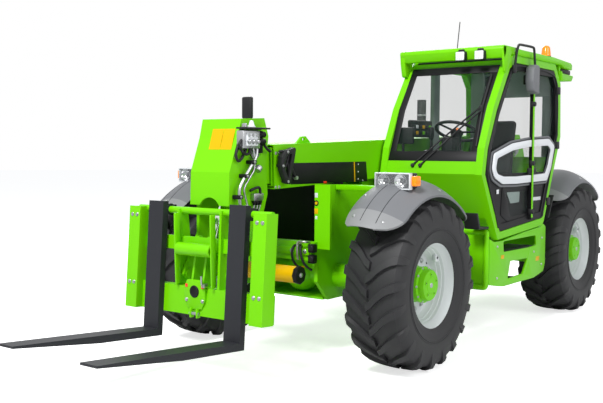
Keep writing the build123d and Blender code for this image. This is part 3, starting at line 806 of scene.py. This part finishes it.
# %% Headlamps, work lamps and beacon
lamps = Piece("headlamp_units", "chassis")
for side in (-1, 1):
    inner, outer = sorted((side * 824, side * 1110))
    lamps.block(dark_plastic, (884, inner, 1322), (962, outer, 1428), 10)
    lamps.block(charcoal, (945, inner + 3, 1318), (958, outer - 3, 1426), 5)
    lamps.block(silver, (955, inner + 1, 1316), (996, inner + 9, 1428), 3)
    lamps.block(silver, (955, outer - 9, 1316), (996, outer - 1, 1428), 3)
    lamps.block(silver, (955, inner + 1, 1312), (996, outer - 1, 1322), 3)
    lamps.block(silver, (955, inner + 1, 1420), (996, outer - 1, 1429), 3)
    for middle, radius in ((side * 898, 46), (side * 1034, 46)):
        lamps.turned(chrome, [(0, -34), (12, -33), (26, -26), (radius - 6, -10), (radius, 4),
                              (radius + 3, 4)], (990, middle, 1372), (1, 0, 0), 28)
        lamps.turned(lamp_glass, [(0, -14), (9, -14), (11, -18), (11, -32)], (992, middle, 1372),
                     (1, 0, 0), 16)
    lamps.block(lamp_glass, (996, inner + 8, 1324), (1002, outer - 8, 1420), 2)
    low, high = sorted((side * 1108, side * 1146))
    lamps.block(amber, (900, low, 1338), (972, high, 1408), 9)
    lamps.block(dark_plastic, (890, inner + 30, 1290), (950, outer - 30, 1326), 5)
    lamps.block(plated, (905, side * 966 - 60, 1284), (965, side * 966 + 60, 1294), 3)
lamps.done("headlamps")

work = Piece("work_lamp_units", "chassis")
for y in (805, 975):
    work.block(dark_plastic, (-392, y - 44, 2322), (-344, y + 44, 2404), 12)
    work.block(led_white, (-346, y - 38, 2328), (-332, y + 38, 2398), 8)
    for row in (-1, 0, 1):
        for column in (-1, 0, 1):
            work.turned(silver, [(0, 1.5), (7, 1.5), (9, 0)], (-333, y + column * 21, 2363 + row * 21),
                        (1, 0, 0), 10)
    work.block(dark_plastic, (-386, y - 24, 2400), (-356, y + 24, 2420), 4)
work.done("work_lamps")

warning = Piece("beacon_unit", "chassis")
warning.turned(dark_plastic, [(0, 2440), (16, 2440), (18, 2448), (18, 2462), (34, 2470), (46, 2474),
                              (47, 2488), (0, 2490)], (-1850, 950, 0), (0, 0, 1), 24)
dome = [(44, 2488), (45, 2500), (43, 2506), (44, 2516), (42, 2522), (42, 2534), (40, 2540),
        (39, 2556), (34, 2572), (22, 2584), (0, 2589)]
warning.turned(amber, dome, (-1850, 950, 0), (0, 0, 1), 28)
warning.turned(plated, [(0, 2540), (9, 2538), (11, 2530), (11, 2490)], (-1850, 950, 0), (0, 0, 1), 12)
warning.done("beacon")
print("lamps ready")

# %% [markdown]
# A mudguard is a crowned strip bent over the wheel. Its points come from two simple rules: a
# circle along its length, and a crown that falls away to both sides. Near its ends the strip
# narrows on a quarter circle, which rounds the corners, and solidify gives it its wall.

# %% Mudguards
guard_sweep = 827.0
guard_rows = 48
guard_lip_row = 43
rounded_rows = 7
guard_columns = 15
guard_inner_y, crown_y, guard_outer_y = 772, 900, 1186
outer_lip = 16


def crown_drop(y):
    """How far the shell falls below its crown, at a distance from the machine's middle."""
    return 47 * ((crown_y - y) / 130) ** 2 if y < crown_y else 118 * ((y - crown_y) / 290) ** 2.1


def guard_strip(centre, side, first, last, reach_back, reach_front):
    """The shell between two of its rows. The last point of each row is the turned-down lip."""
    part = bmesh.new()
    rows = []
    for k in range(first, last + 1):
        angle = math.radians(-reach_back + (reach_front + reach_back) * k / guard_rows)
        to_end = min(k, guard_rows - k) / rounded_rows
        narrow = 0 if to_end >= 1 else 1 - math.sqrt(max(0.0, 1 - (1 - to_end) ** 2))
        low, high = guard_inner_y + 70 * narrow, guard_outer_y - 150 * narrow
        row = []
        for j in range(guard_columns + 2):
            y = low + (high - low) * min(j, guard_columns) / guard_columns
            reach = guard_sweep - crown_drop(y) - (outer_lip if j > guard_columns else 0)
            row.append(part.verts.new((centre[0] + reach * math.sin(angle), side * y,
                                       centre[1] + reach * math.cos(angle))))
        rows.append(row)
    for near, far in zip(rows, rows[1:]):
        for k in range(guard_columns + 1):
            part.faces.new((near[k], near[k + 1], far[k + 1], far[k]))
    bmesh.ops.recalc_face_normals(part, faces=part.faces[:])
    bmesh.ops.solidify(part, geom=part.faces[:], thickness=7.0)
    return part


shells = Piece("mudguards", "chassis")
for side in (-1, 1):
    for centre, back, front_reach in (((730, 560), 52, 51), ((-2310, 577), 51, 46)):
        shells.take(guard_strip(centre, side, 0, guard_lip_row, back, front_reach), fender_grey)
        shells.take(guard_strip(centre, side, guard_lip_row, guard_rows, back, front_reach), lip_grey)
        low, high = sorted((side * 332, side * 810))
        shells.block(lime, (centre[0] - 34, low, centre[1] + 724), (centre[0] + 34, high, centre[1] + 762), 5)
    low, high = sorted((side * 850, side * 900))
    shells.block(yellow, (-2260, low, 1396), (-2200, high, 1402), 1)
shells.done("fenders")
bpy.context.view_layer.update()
print("mudguards of", guard_rows, "rows each")

# %% [markdown]
# The mudguards are moulded plastic with a paler lip along the front edge, two seams that run
# fore and aft, and a few round bolt heads. Each bolt is dropped onto the curved shell.

# %% Mudguard trim
above_guards = 1700
guards = Piece("mudguard_trim", "chassis")
for side in (-1, 1):
    for x, y in ((1310, 860), (1290, 1080), (1120, 830), (620, 1140), (-1760, 1130), (-2880, 1120),
                 (-2860, 850), (-1790, 860), (-2310, 1150)):
        spot, normal = landing("mudguards", (x, side * y, above_guards), (0, 0, -1))
        if spot.z < above_guards - 50:
            guards.turned(plated, [(0, 5), (9, 4), (12, 1), (12, -3)], spot, normal, 16)
    for y, start in ((930, 900), (1040, 960)):
        seam = [landing("mudguards", (x, side * y, above_guards), (0, 0, -1))[0]
                for x in range(start, 1350, 40)]
        for near, far in zip(seam, seam[1:]):
            middle = (near + far) / 2
            heading = far - near
            turn = Vector((1, 0, 0)).rotation_difference(heading).to_matrix().to_4x4()
            half = Vector((heading.length / 2 + 1, 2.2, 1.4))
            if max(near.z, far.z) < above_guards - 50:
                guards.block(black_paint, middle - half, middle + half, 0.6, turn, 1)
guards.done()
print("mudguard bolts and seams ready")

# %% [markdown]
# Under the door stands the access step: a panel with two openings and a perforated tread,
# framed by a round tube. The outline is cut as a flat plate, then its edges are softened.

# %% Access steps
steps = Piece("access_steps", "chassis")
panel = [(-275, 875), (-275, 500), (-450, 470), (-560, 456), (-1210, 456), (-1430, 492), (-1469, 560),
         (-1469, 900), (-1400, 930), (-1345, 902), (-1250, 898), (-950, 880), (-517, 842), (-360, 842)]
upper_opening = [(-540, 835), (-550, 745), (-1090, 737), (-1250, 745), (-1240, 835)]
lower_opening = [(-690, 655), (-1060, 647), (-960, 518), (-640, 510)]
steps.plate(lime, [panel, upper_opening, lower_opening], "y", 1114, 1129, 3, 14)
steps.plate(lime, [[(-960, 515), (-1060, 647), (-1100, 740), (-1130, 740), (-1090, 640), (-1000, 505)]],
            "y", 1120, 1130, 2, 4)
steps.block(charcoal, (-1045, 860, 462), (-560, 1112, 476), 3)
for column in range(11):
    for row in range(4):
        steps.turned(charcoal, [(9, 0), (10, 5), (13, 6), (16, 0)],
                     (-1010 + column * 42, 900 + row * 60, 475), (0, 0, 1), 10)
steps.block(charcoal, (-1240, 870, 730), (-560, 1112, 742), 3)
for column in range(15):
    steps.turned(charcoal, [(9, 0), (10, 5), (13, 6), (16, 0)], (-1205 + column * 44, 1070, 741),
                 (0, 0, 1), 10)
steps.block(lime, (-272, 745, 500), (-258, 1110, 930), 3)
steps.block(lime, (-1468, 700, 560), (-1452, 1120, 900), 3)
steps.block(lime, (-1466, 702, 500), (-265, 728, 845), 4)
for start in (-320, -1440):
    steps.block(lime, (start, 332, 782), (start + 50, 710, 838), 4)
for spot in ((-420, 800), (-1380, 800), (-420, 540), (-1380, 560), (-1200, 690)):
    steps.bolt((spot[0], 1129, spot[1]), (0, 1, 0), 15)
steps.block(yellow, (-1330, 1127, 600), (-1250, 1129.9, 640), 0.8)
steps.block(yellow, (-560, 1127, 690), (-500, 1129.9, 722), 0.8)
for spot_z in (640, 760):
    steps.block(dark_plastic, (-640, 726, spot_z - 60), (-1200, 734, spot_z + 40), 2)
steps.done("cab_steps")
pipes("step_tube", "chassis", lime, 24.0, [
    [(-262, 760, 932), (-262, 1060, 932), (-262, 1102, 930), (-262, 1104, 900),
     (-262, 1104, 540), (-262, 1102, 480), (-262, 1060, 480), (-262, 760, 480)],
], 4)
flaps = Piece("wheel_flaps", "chassis")
flaps.plate(dark_plastic, [[(-36, 1090), (-60, 1096), (-104, 985), (-262, 976), (-262, 958), (-84, 964)]],
            "y", 1000, 1124, 2)
for low, high in ((840, 1140), (-1140, -840)):
    flaps.plate(dark_plastic, [[(-1640, 1180), (-1620, 1180), (-1500, 975), (-1520, 975)]], "y", low, high, 2)
flaps.done()
print("steps ready")

# %% [markdown]
# The door is the busiest part of the picture: a pale ring with a stepped edge frames a middle
# window, and a second pane lies below it. The step's grey band and charcoal line are painted
# shade. The glass has a wide black printed border.

# %% Cab door trim
ring_outer = [(-190, 1430), (-222, 1572), (-600, 1668), (-959, 1703), (-1440, 1724), (-1585, 1650),
              (-1500, 1420), (-1400, 1296), (-1010, 1290), (-700, 1284), (-400, 1290), (-240, 1350)]
ring_outer_low = [(-895 + (x + 895) * 0.955, 1504 + (z - 1504) * 0.88) for x, z in ring_outer]
ring_between = [(-895 + (x + 895) * 0.975, 1504 + (z - 1504) * 0.93) for x, z in ring_outer]
ring_inner = [(-286, 1440), (-312, 1524), (-620, 1590), (-960, 1622), (-1405, 1636), (-1470, 1600),
              (-1410, 1460), (-1348, 1386), (-1010, 1378), (-700, 1372), (-440, 1376), (-320, 1400)]
door = Piece("door_trim", "door")
# The grey outer plate and the charcoal band between it and the pale ring are painted shade on the ring's
# stepped edge.
door.plate(fender_grey, [ring_outer, ring_inner], "y", 1142, 1156, 3, 22)
door.plate(charcoal, [ring_between, ring_inner], "y", 1150, 1159, 2, 22)
door.plate(white_trim, [ring_outer_low, ring_inner], "y", 1154, 1168, 4, 22)
door.plate(glass, [ring_inner], "y", 1136, 1142, 0, 0)
door.plate(black_paint, [[(-462, 1284), (-1330, 1276), (-1240, 1016), (-590, 992), (-440, 1060)],
                         [(-520, 1250), (-1000, 1246), (-1000, 1050), (-640, 1036)]], "y", 1139, 1144, 1, 18)
door.plate(glass, [[(-520, 1250), (-1000, 1246), (-1000, 1050), (-640, 1036)]], "y", 1139, 1142, 0)
door.plate(liner_grey, [[(-560, 1242), (-830, 1240), (-820, 1150), (-640, 1146)]], "y", 1139, 1141, 0.5, 12)
door.block(silver, (-1290, 1142, 1150), (-1060, 1146, 1180), 1)
door.block(white_trim, (-392, 1143, 1236), (-352, 1147, 1272), 1)
door.plate(lime, [[(-1034, 1008), (-1034, 2290), (-1006, 2290), (-1006, 1008)]], "y", 1172, 1180, 2)
for level in (1990, 1480, 1060):
    door.block(dark_plastic, (-1046, 1146, level - 24), (-994, 1180, level + 24), 8)
    door.turned(dark_plastic, [(0, 14), (18, 12), (22, 6), (22, -4)], (-1020, 1180, level), (0, 1, 0), 18)
door.block(dark_plastic, (-1110, 1146, 1386), (-960, 1172, 1438), 8)
door.block(black_paint, (-1096, 1170, 1398), (-986, 1178, 1426), 4)
for level in (1130, 1640, 2140):
    low_x = -1500 if level < 1300 else -1700
    door.block(dark_plastic, (low_x + 20, 1140, level - 34), (low_x + 90, 1166, level + 34), 7)
door.done()
pipes("door_seal", "door", dark_plastic, 7.0, [
    [(-378, 1152, 960), (-330, 1152, 1062), (-136, 1152, 1398), (-174, 1152, 1592),
     (-326, 1152, 1892), (-568, 1152, 2250), (-690, 1152, 2302), (-1530, 1152, 2302),
     (-1632, 1152, 2186), (-1656, 1152, 1738), (-1496, 1152, 1410), (-1320, 1152, 1000)],
])
print("door ready")

# %% [markdown]
# The roof is a thin slab with a deep brow over the windscreen. Guard bars run from the brow
# back to the slab, and the rear edge splits into two lips over the rear window.

# %% Roof
roof = Piece("roof_shell", "chassis")
roof.plate(lime, [[(-620, 2378), (-620, 2438), (-760, 2432), (-1490, 2434), (-1930, 2416), (-1962, 2398),
                   (-1958, 2350), (-1743, 2356), (-1690, 2378)]], "y", 212, 1168, 9)
roof.plate(lime, [[(-1704, 2330), (-1716, 2306), (-1985, 2300), (-1994, 2286), (-1955, 2246),
                   (-1732, 2236), (-1700, 2236)]], "y", 222, 1166, 8)
roof.plate(lime, [[(-398, 2336), (-374, 2408), (-386, 2436), (-446, 2439), (-442, 2384), (-418, 2334)]],
           "y", 212, 1168, 8)
for low, high in ((212, 256), (1150, 1168)):
    roof.plate(lime, [[(-388, 2334), (-378, 2430), (-400, 2438), (-650, 2438), (-650, 2378), (-540, 2376),
                       (-525, 2326), (-446, 2216), (-414, 2226)]], "y", low, high, 5)
for number in range(1, 7):
    start = 240 + number * 128
    roof.plate(lime, [[(-404, 2352), (-404, 2372), (-478, 2428), (-640, 2428), (-640, 2406), (-486, 2406)]],
               "y", start, start + 13, 3)
for start in (240, 1112):
    roof.plate(lime, [[(-1684, 2376), (-1684, 2240), (-1716, 2240), (-1722, 2372)]], "y",
               start, start + 30, 3)
roof.block(amber, (-1962, 1000, 2312), (-1946, 1080, 2342), 5)
roof.block(dark_plastic, (-1960, 240, 2308), (-1730, 1150, 2346), 5)
for x in (-760, -1480):
    for y in (300, 690, 1080):
        roof.turned(lime, [(0, 5), (16, 4), (20, 0)], (x, y, 2433), (0, 0, 1), 18)
roof.block(dark_plastic, (-1880, 925, 2430), (-1820, 975, 2446), 4)
roof.done("cab_roof")
print("roof ready")

# %% [markdown]
# Through the glass one sees the pale lining of roof and pillars, the air vents over the
# windscreen, and the black border that is printed on the pane to hide its glue.

# %% Cab lining and windscreen border
liner = Piece("cab_lining", "chassis")
liner.block(liner_grey, (-1600, 292, 2336), (-700, 1084, 2372), 14)
liner.block(dark_plastic, (-700, 292, 2318), (-548, 1084, 2350), 10)
for number in range(7):
    start = 310 + number * 110
    liner.block(charcoal, (-690, start, 2306), (-575, start + 92, 2320), 5)
liner.block(liner_grey, (-1676, 292, 2092), (-1636, 1084, 2340), 14)
liner.block(liner_grey, (-1690, 292, 1500), (-1596, 436, 2340), 20)
liner.block(liner_grey, (-1690, 1000, 1500), (-1640, 1086, 2340), 14)
liner.block(liner_grey, (-998, 236, 1500), (-886, 284, 2330), 14)
liner.block(dark_plastic, (-1640, 820, 2210), (-1624, 980, 2300), 12)
liner.block(dark_plastic, (-1640, 340, 2210), (-1624, 500, 2300), 12)
liner.block(dark_plastic, (-110, 300, 1440), (-330, 1060, 1520), 16)
liner.plate(dark_plastic, [[(-1250, 1020), (-560, 1040), (-330, 1300), (-300, 1480), (-420, 1500),
                            (-520, 1320), (-1250, 1160)]], "y", 296, 330, 6)
for y in (420, 880):
    liner.turned(dark_plastic, [(0, 5), (16, 4), (26, 0)], (-620, y, 2316), (0, 0, -1), 16)
liner.done()
border = Piece("windscreen_border", "chassis")
pane_line = [(-86, 1500), (-256, 1925), (-494, 2290), (-500, 2290), (-262, 1922), (-92, 1500)]
for low, high in ((282, 340), (1026, 1090)):
    border.plate(black_paint, [pane_line], "y", low, high, 0.8)
border.plate(black_paint, [[(-85, 1500), (-117, 1580), (-123, 1578), (-91, 1500)]], "y", 282, 1090, 0.8)
border.plate(black_paint, [[(-452, 2228), (-493, 2290), (-499, 2290), (-458, 2226)]], "y", 282, 1090, 0.8)
border.done()
print("lining and border ready")

# %% [markdown]
# The driver's place shows through the windscreen, with the steering wheel in the middle. The
# wheel's rim is a small circle spun round the column's axis, and three flat arms carry it.

# %% Steering wheel and column
lean = Vector((-0.42, 0, 0.91)).normalized()
wheel_spot = Vector((-640, 640, 1752))
controls = Piece("driver_controls", "chassis")
rim_circle = [(186 + 14 * math.cos(angle), 14 * math.sin(angle))
              for angle in [math.tau * k / 12 for k in range(13)]]
controls.turned(dark_plastic, rim_circle, wheel_spot, lean, 48)
controls.turned(dark_plastic, [(0, 10), (40, 8), (56, -6), (50, -40), (36, -60), (0, -60)], wheel_spot,
                lean, 28)
for angle in (math.radians(90), math.radians(-30), math.radians(210)):
    turn = along(lean) @ Matrix.Rotation(angle, 4, "Z")
    arm = bmesh.new()
    bmesh.ops.create_cube(arm, size=1.0)
    bmesh.ops.scale(arm, vec=(160, 26, 10), verts=arm.verts)
    soften(arm, arm.edges[:], 4)
    bmesh.ops.translate(arm, vec=(110, 0, -8), verts=arm.verts)
    controls.take(arm, dark_plastic, wheel_spot, turn)
controls.turned(dark_plastic, [(0, 0), (82, 0), (70, 60), (52, 300), (44, 760), (36, 800), (0, 800)],
                (-505, 645, 932), wheel_spot - Vector((-505, 645, 932)), 24)
controls.turned(amber, [(9, 0), (9, 16), (0, 18)], wheel_spot + Vector((120, 60, 10)), lean, 12)
controls.block(dark_plastic, (-560, 590, 1560), (-430, 700, 1700), 24)
controls.done("steering_column")
print("steering wheel at", tuple(wheel_spot))

# %% [markdown]
# At the driver's right hand stands a console with a joystick, a panel of keys and a display.
# Two pedals come up from the floor.

# %% Side console and pedals
console = Piece("side_console", "chassis")
console.plate(dark_plastic, [[(-330, 1080), (-215, 1420), (-340, 1560), (-900, 1520), (-1290, 1420),
                              (-1290, 932), (-500, 932)]], "y", 287, 418, 14, 40)
console.block(dark_plastic, (-1180, 292, 1440), (-640, 450, 1590), 22)
console.block(dark_plastic, (-770, 292, 1700), (-380, 330, 1850), 14)
key_finishes = (silver, charcoal, lime, charcoal, yellow, charcoal)
for column in range(6):
    for row in range(2):
        low = (-740 + column * 58, 326, 1725 + row * 52)
        console.block(key_finishes[(column + row * 2) % 6], low, (low[0] + 38, 336, low[2] + 30), 4)
console.turned(dark_plastic, [(34, 0), (30, 12), (14, 26), (11, 120), (20, 132), (25, 160), (26, 210),
                              (18, 232), (0, 236)], (-640, 388, 1560), (0.04, 0.02, 1), 20)
for key in range(4):
    console.turned(amber if key == 1 else charcoal, [(0, 5), (5, 4), (6, 0)],
                   (-622, 378 + key * 8, 1748 - key * 9), (1, 0, 0.2), 10)
console.block(dark_plastic, (-268, 246, 1640), (-232, 430, 1782), 12)
console.block(glass, (-272, 258, 1652), (-266, 418, 1770), 2)
console.turned(dark_plastic, [(12, 0), (12, 160)], (-250, 330, 1500), (0, 0, 1), 12)
console.done("console")
for y in (500, 740):
    pedal = Piece("pedal_" + str(y), "chassis")
    pedal.block(charcoal, (-560, y, 980), (-546, y + 60, 1070), 5)
    pedal.block(charcoal, (-554, y + 24, 934), (-542, y + 36, 1000), 3)
    pedal.done()
print("console and pedals ready")

# %% [markdown]
# A seat cushion is a fabric bag full of foam. The plain block is remeshed into even small
# faces, inflated for twenty frames by the cloth solver with no gravity, and each point's
# travel is capped, so that the cushion crowns between its corners and keeps its size.

# %% Padded seat
seat_corner = 34
seat_voxel = 0.007
cloth_frames = 20
cloth_pressure = 4.0


def soft_block(name, low, high, turn):
    """A plain block with well rounded corners, in metres."""
    form = bmesh.new()
    bmesh.ops.create_cube(form, size=1.0)
    bmesh.ops.scale(form, vec=[top - bottom for bottom, top in zip(low, high)], verts=form.verts)
    soften(form, form.edges[:], seat_corner, 4)
    middle = Vector([(top + bottom) / 2 for bottom, top in zip(low, high)])
    bmesh.ops.transform(form, matrix=Matrix.Translation(middle) @ turn, verts=form.verts)
    bmesh.ops.scale(form, vec=(0.001, 0.001, 0.001), verts=form.verts)
    mesh = bpy.data.meshes.new(name)
    form.to_mesh(mesh)
    form.free()
    piece = bpy.data.objects.new(name, mesh)
    bpy.context.scene.collection.objects.link(piece)
    return piece


def applied(piece):
    """Bakes the piece's modifiers into its mesh."""
    graph = bpy.context.evaluated_depsgraph_get()
    fresh = bpy.data.meshes.new_from_object(piece.evaluated_get(graph))
    piece.modifiers.clear()
    piece.data = fresh


def puffed(piece, cap):
    """Fills a block like a cushion, with no point moved further than the cap."""
    remesh = piece.modifiers.new("remesh", "REMESH")
    remesh.mode = "VOXEL"
    remesh.voxel_size = seat_voxel
    applied(piece)
    still = [vertex.co.copy() for vertex in piece.data.vertices]
    cloth = piece.modifiers.new("cloth", "CLOTH")
    cloth.settings.use_pressure = True
    cloth.settings.uniform_pressure_force = cloth_pressure
    cloth.settings.effector_weights.gravity = 0.0
    for moment in range(1, cloth_frames + 1):
        bpy.context.scene.frame_set(moment)
    applied(piece)
    bpy.context.scene.frame_set(1)
    for vertex, start in zip(piece.data.vertices, still):
        travel = vertex.co - start
        if travel.length > cap:
            vertex.co = start + travel.normalized() * cap
    piece.data.materials.clear()
    piece.data.materials.append(seat_fabric)
    piece.data.shade_smooth()
    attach(piece, "chassis")


recline = Matrix.Rotation(math.radians(-9.5), 4, "Y")
cushion = soft_block("seat_cushion", (-1315, 440, 1192), (-866, 860, 1286), Matrix())
backrest = soft_block("seat_backrest", (-1436, 458, 1320), (-1356, 842, 1874), recline)
puffed(cushion, 0.010)
puffed(backrest, 0.008)
stand = Piece("seat_stand", "chassis")
stand.block(charcoal, (-1250, 480, 932), (-900, 800, 1010), 12)
for number in range(6):
    stand.block(dark_plastic, (-1236, 494, 1010 + number * 27), (-914, 786, 1032 + number * 27), 9)
stand.block(charcoal, (-1300, 460, 1170), (-880, 840, 1196), 8)
stand.block(dark_plastic, (-1200, 398, 1330), (-900, 436, 1384), 14)
stand.block(dark_plastic, (-1200, 864, 1330), (-940, 880, 1384), 7)
stand.turned(red, [(0, 8), (14, 7), (16, 0)], (-1180, 846, 1260), (0, 1, 0), 14)
stand.done("seat")
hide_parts("seat")
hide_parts("seat")
print("seat faces:", len(cushion.data.polygons) + len(backrest.data.polygons))

# %% [markdown]
# Two wiper arms lie across the windscreen, and a blade stands at its left edge. The left
# mirror hangs on a bent arm from the door, so it rides on the door's body, and the right one
# stands on a post of the frame.

# %% Wipers and mirrors
pipes("wiper_arms", "chassis", dark_plastic, 7.0, [
    [(-62, 525, 1463), (-80, 560, 1500), (-180, 850, 1770), (-232, 1040, 1930)],
    [(-62, 596, 1463), (-80, 630, 1500), (-176, 890, 1760), (-226, 1060, 1912)],
], 2)
pipes("wiper_blade", "chassis", dark_plastic, 8.0, [
    [(-118, 1070, 1620), (-226, 1058, 1880), (-262, 1056, 1970), (-424, 1052, 2210)],
], 2)
wiper = Piece("wiper_fittings", "chassis")
for y in (525, 596):
    wiper.turned(dark_plastic, [(0, 16), (12, 16), (16, 10), (16, -16)], (-72, y, 1463), (1, 0, 0.35), 16)
wiper.block(dark_plastic, (-246, 1036, 1900), (-222, 1070, 1950), 6)
wiper.done("wipers")
mirror = Piece("left_mirror_head", "door")
mirror.plate(fender_grey, [[(-1000, 2070), (-1000, 2314), (-930, 2322), (-872, 2290), (-858, 2180),
                           (-884, 2090)]], "y", 1154, 1234, 16, 18)
mirror.block(mirror_face, (-1003, 1164, 2084), (-998, 1226, 2300), 2)
mirror.turned(dark_plastic, [(0, 6), (18, 5), (22, 0), (22, -6)], (-936, 1228, 2226), (0, 1, 0), 18)
mirror.block(dark_plastic, (-644, 1152, 2226), (-588, 1176, 2294), 8)
mirror.done("left_mirror")
pipes("left_mirror_arm", "door", dark_plastic, 10.5, [
    [(-615, 1166, 2262), (-616, 1176, 2380), (-620, 1192, 2450), (-634, 1194, 2462), (-760, 1196, 2464),
     (-920, 1200, 2466), (-940, 1200, 2452), (-946, 1204, 2360), (-966, 1205, 2250)],
])
far_mirror = Piece("right_mirror_head", "chassis")
far_mirror.block(dark_plastic, (228, -1048, 1862), (264, -932, 2058), 15)
far_mirror.block(mirror_face, (225.5, -1038, 1874), (232, -942, 2046), 2)
far_mirror.done("right_mirror")
pipes("right_mirror_post", "chassis", dark_plastic, 12.0, [
    [(302, -960, 1330), (302, -975, 1420), (262, -990, 1700), (250, -990, 1900)],
])
print("wipers and mirrors ready")

# %% [markdown]
# The photograph doesn't show the machine's other side and its rear, but they are looked at
# too: the pod's and the hood's slots, the bolts on the counterweight, the lamps and the hitch.

# %% Engine side and rear
engine = Piece("engine_side_trim", "chassis")
skin_y = landing("engine_pod", (-800, -1500, 900), (0, 1, 0))[0].y
for number in range(9):
    start = -1250 + number * 66
    engine.block(black_paint, (start, skin_y - 3, 800), (start + 34, skin_y + 4, 1080), 3)
    engine.block(lime, (start + 34, skin_y - 9, 796), (start + 46, skin_y + 4, 1084), 4)
for x in (-200, -640, -1340, -1700, -2300):
    for level in (640, 1180):
        spot = landing("engine_pod", (x, -1500, level), (0, 1, 0))[0]
        if spot.y > -1400:
            engine.bolt(spot, (0, -1, 0), 16)
engine.done()
hood_trim = Piece("hood_trim", "hood")
hood_y = landing("engine_hood", (-800, -1500, 1400), (0, 1, 0))[0].y
for number in range(7):
    level = 1310 + number * 24
    hood_trim.block(black_paint, (-1250, hood_y - 2, level), (-500, hood_y + 3, level + 11), 2)
hood_trim.block(dark_plastic, (-420, hood_y - 8, 1300), (-300, hood_y + 4, 1350), 8)
hood_trim.block(black_paint, (-400, hood_y - 10, 1312), (-320, hood_y - 4, 1338), 3)
hood_trim.done()
rear = Piece("rear_fittings", "chassis")
for side in (-1, 1):
    rear_x = landing("rear_lamps", (-3300, side * 375, 1060), (1, 0, 0))[0].x
    for low, high, finish in ((1004, 1040, amber), (1042, 1080, red), (1082, 1116, silver)):
        inner, outer = sorted((side * 338, side * 414))
        rear.block(finish, (rear_x - 7, inner, low), (rear_x + 3, outer, high), 4)
    for level in (620, 1060):
        spot = landing("counterweight", (-3400, side * 250, level), (1, 0, 0))[0]
        rear.bolt(spot + Vector((16, 0, 0)), (-1, 0, 0), 28)
    rear.turned(plated, [(0, 12), (40, 12), (46, 8), (46, 0)], (-2600, side * 350, 1600), (0, side, 0), 28)
    rear.bolt((-2560, side * 352, 1540), (0, side, 0), 18)
grille_x = landing("counterweight", (-3400, 0, 850), (1, 0, 0))[0].x
for number in range(5):
    level = 760 + number * 34
    rear.block(black_paint, (grille_x - 2, -170, level), (grille_x + 4, 170, level + 16), 3)
rear.turned(cast_iron, [(0, 76), (24, 76), (28, 70), (28, 0)], (-3066, 0, 470), (0, 0, 1), 20)
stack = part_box("exhaust_stack")[1].z * 1000
for level in (1700, 1980):
    rear.turned(plated, [(50, -10), (54, -8), (54, 8), (50, 10)], (-2420, -700, level), (0, 0, 1), 28)
rear.turned(black_paint, [(46, 0), (46, 1.0), (38, 1.0), (38, -30), (0, -30)], (-2420, -700, stack - 1),
            (0, 0, 1), 28)
rear.done()
print("hidden sides ready")

# %% [markdown]
# A studio sweep: a wide pale floor, a bright world that shows white to the camera, one broad
# key light from the machine's front left and a weaker one behind. The floor is partly
# lit and partly glowing for camera rays, so that it stays white and still keeps a soft shadow.

# %% Floor, world and lights
floor_radius = 60.0
floor_glow = 0.69
sky_strength = 0.34


def wired(tree, kind, inputs, operation=None):
    """Adds a node. Each input gets a value, or a link from another node's output."""
    made = tree.nodes.new(kind)
    if operation:
        made.operation = operation
    for key, value in inputs.items():
        if isinstance(value, bpy.types.NodeSocket):
            tree.links.new(value, made.inputs[key])
        else:
            made.inputs[key].default_value = value
    return made


def studio_floor():
    mesh = bpy.data.meshes.new("studio_floor")
    form = bmesh.new()
    bmesh.ops.create_circle(form, cap_ends=True, segments=64, radius=floor_radius)
    form.to_mesh(mesh)
    form.free()
    floor = bpy.data.objects.new("studio_floor", mesh)
    bpy.context.scene.collection.objects.link(floor)
    material = bpy.data.materials.new("floor_white")
    material.use_nodes = True
    tree = material.node_tree
    tree.nodes.clear()
    seen = wired(tree, "ShaderNodeLightPath", {}).outputs["Is Camera Ray"]
    lift = wired(tree, "ShaderNodeMath", {0: seen, 1: floor_glow}, "MULTIPLY")
    glow = wired(tree, "ShaderNodeEmission", {"Strength": lift.outputs[0]})
    lit = wired(tree, "ShaderNodeBsdfDiffuse", {"Color": (0.88, 0.88, 0.88, 1)})
    summed = wired(tree, "ShaderNodeAddShader", {0: lit.outputs[0], 1: glow.outputs[0]})
    wired(tree, "ShaderNodeOutputMaterial", {"Surface": summed.outputs[0]})
    mesh.materials.append(material)


def studio_world():
    world = bpy.data.worlds.new("studio")
    bpy.context.scene.world = world
    world.use_nodes = True
    tree = world.node_tree
    tree.nodes.clear()
    rays = wired(tree, "ShaderNodeLightPath", {}).outputs
    direct = wired(tree, "ShaderNodeMath", {0: rays["Is Camera Ray"], 1: rays["Is Glossy Ray"]}, "MAXIMUM")
    shown = wired(tree, "ShaderNodeMath", {0: direct.outputs[0], 1: rays["Is Transmission Ray"]}, "MAXIMUM")
    soft = wired(tree, "ShaderNodeBackground", {"Color": (0.93, 0.96, 1.0, 1), "Strength": sky_strength})
    white = wired(tree, "ShaderNodeBackground", {"Color": (1, 1, 1, 1)})
    mixed = wired(tree, "ShaderNodeMixShader",
                  {0: shown.outputs[0], 1: soft.outputs[0], 2: white.outputs[0]})
    wired(tree, "ShaderNodeOutputWorld", {"Surface": mixed.outputs[0]})


def softbox(name, place, target, size, power):
    lamp = bpy.data.lights.new(name, "AREA")
    lamp.shape = "DISK"
    lamp.size = size
    lamp.energy = power
    light = bpy.data.objects.new(name, lamp)
    light.location = place
    light.rotation_mode = "QUATERNION"
    light.rotation_quaternion = (Vector(target) - Vector(place)).to_track_quat("-Z", "Y")
    bpy.context.scene.collection.objects.link(light)


studio_floor()
studio_world()
softbox("key_light", (7.5, 1.5, 8.5), (0, 0, 1.2), 3.0, 1150.0)
softbox("left_light", (1.0, 9.0, 6.0), (-0.5, 0, 1.2), 6.0, 380.0)
softbox("back_light", (-8.0, -5.0, 7.0), (-1.0, 0, 1.2), 5.0, 600.0)
bpy.context.scene.view_settings.view_transform = "Standard"
print("studio ready")
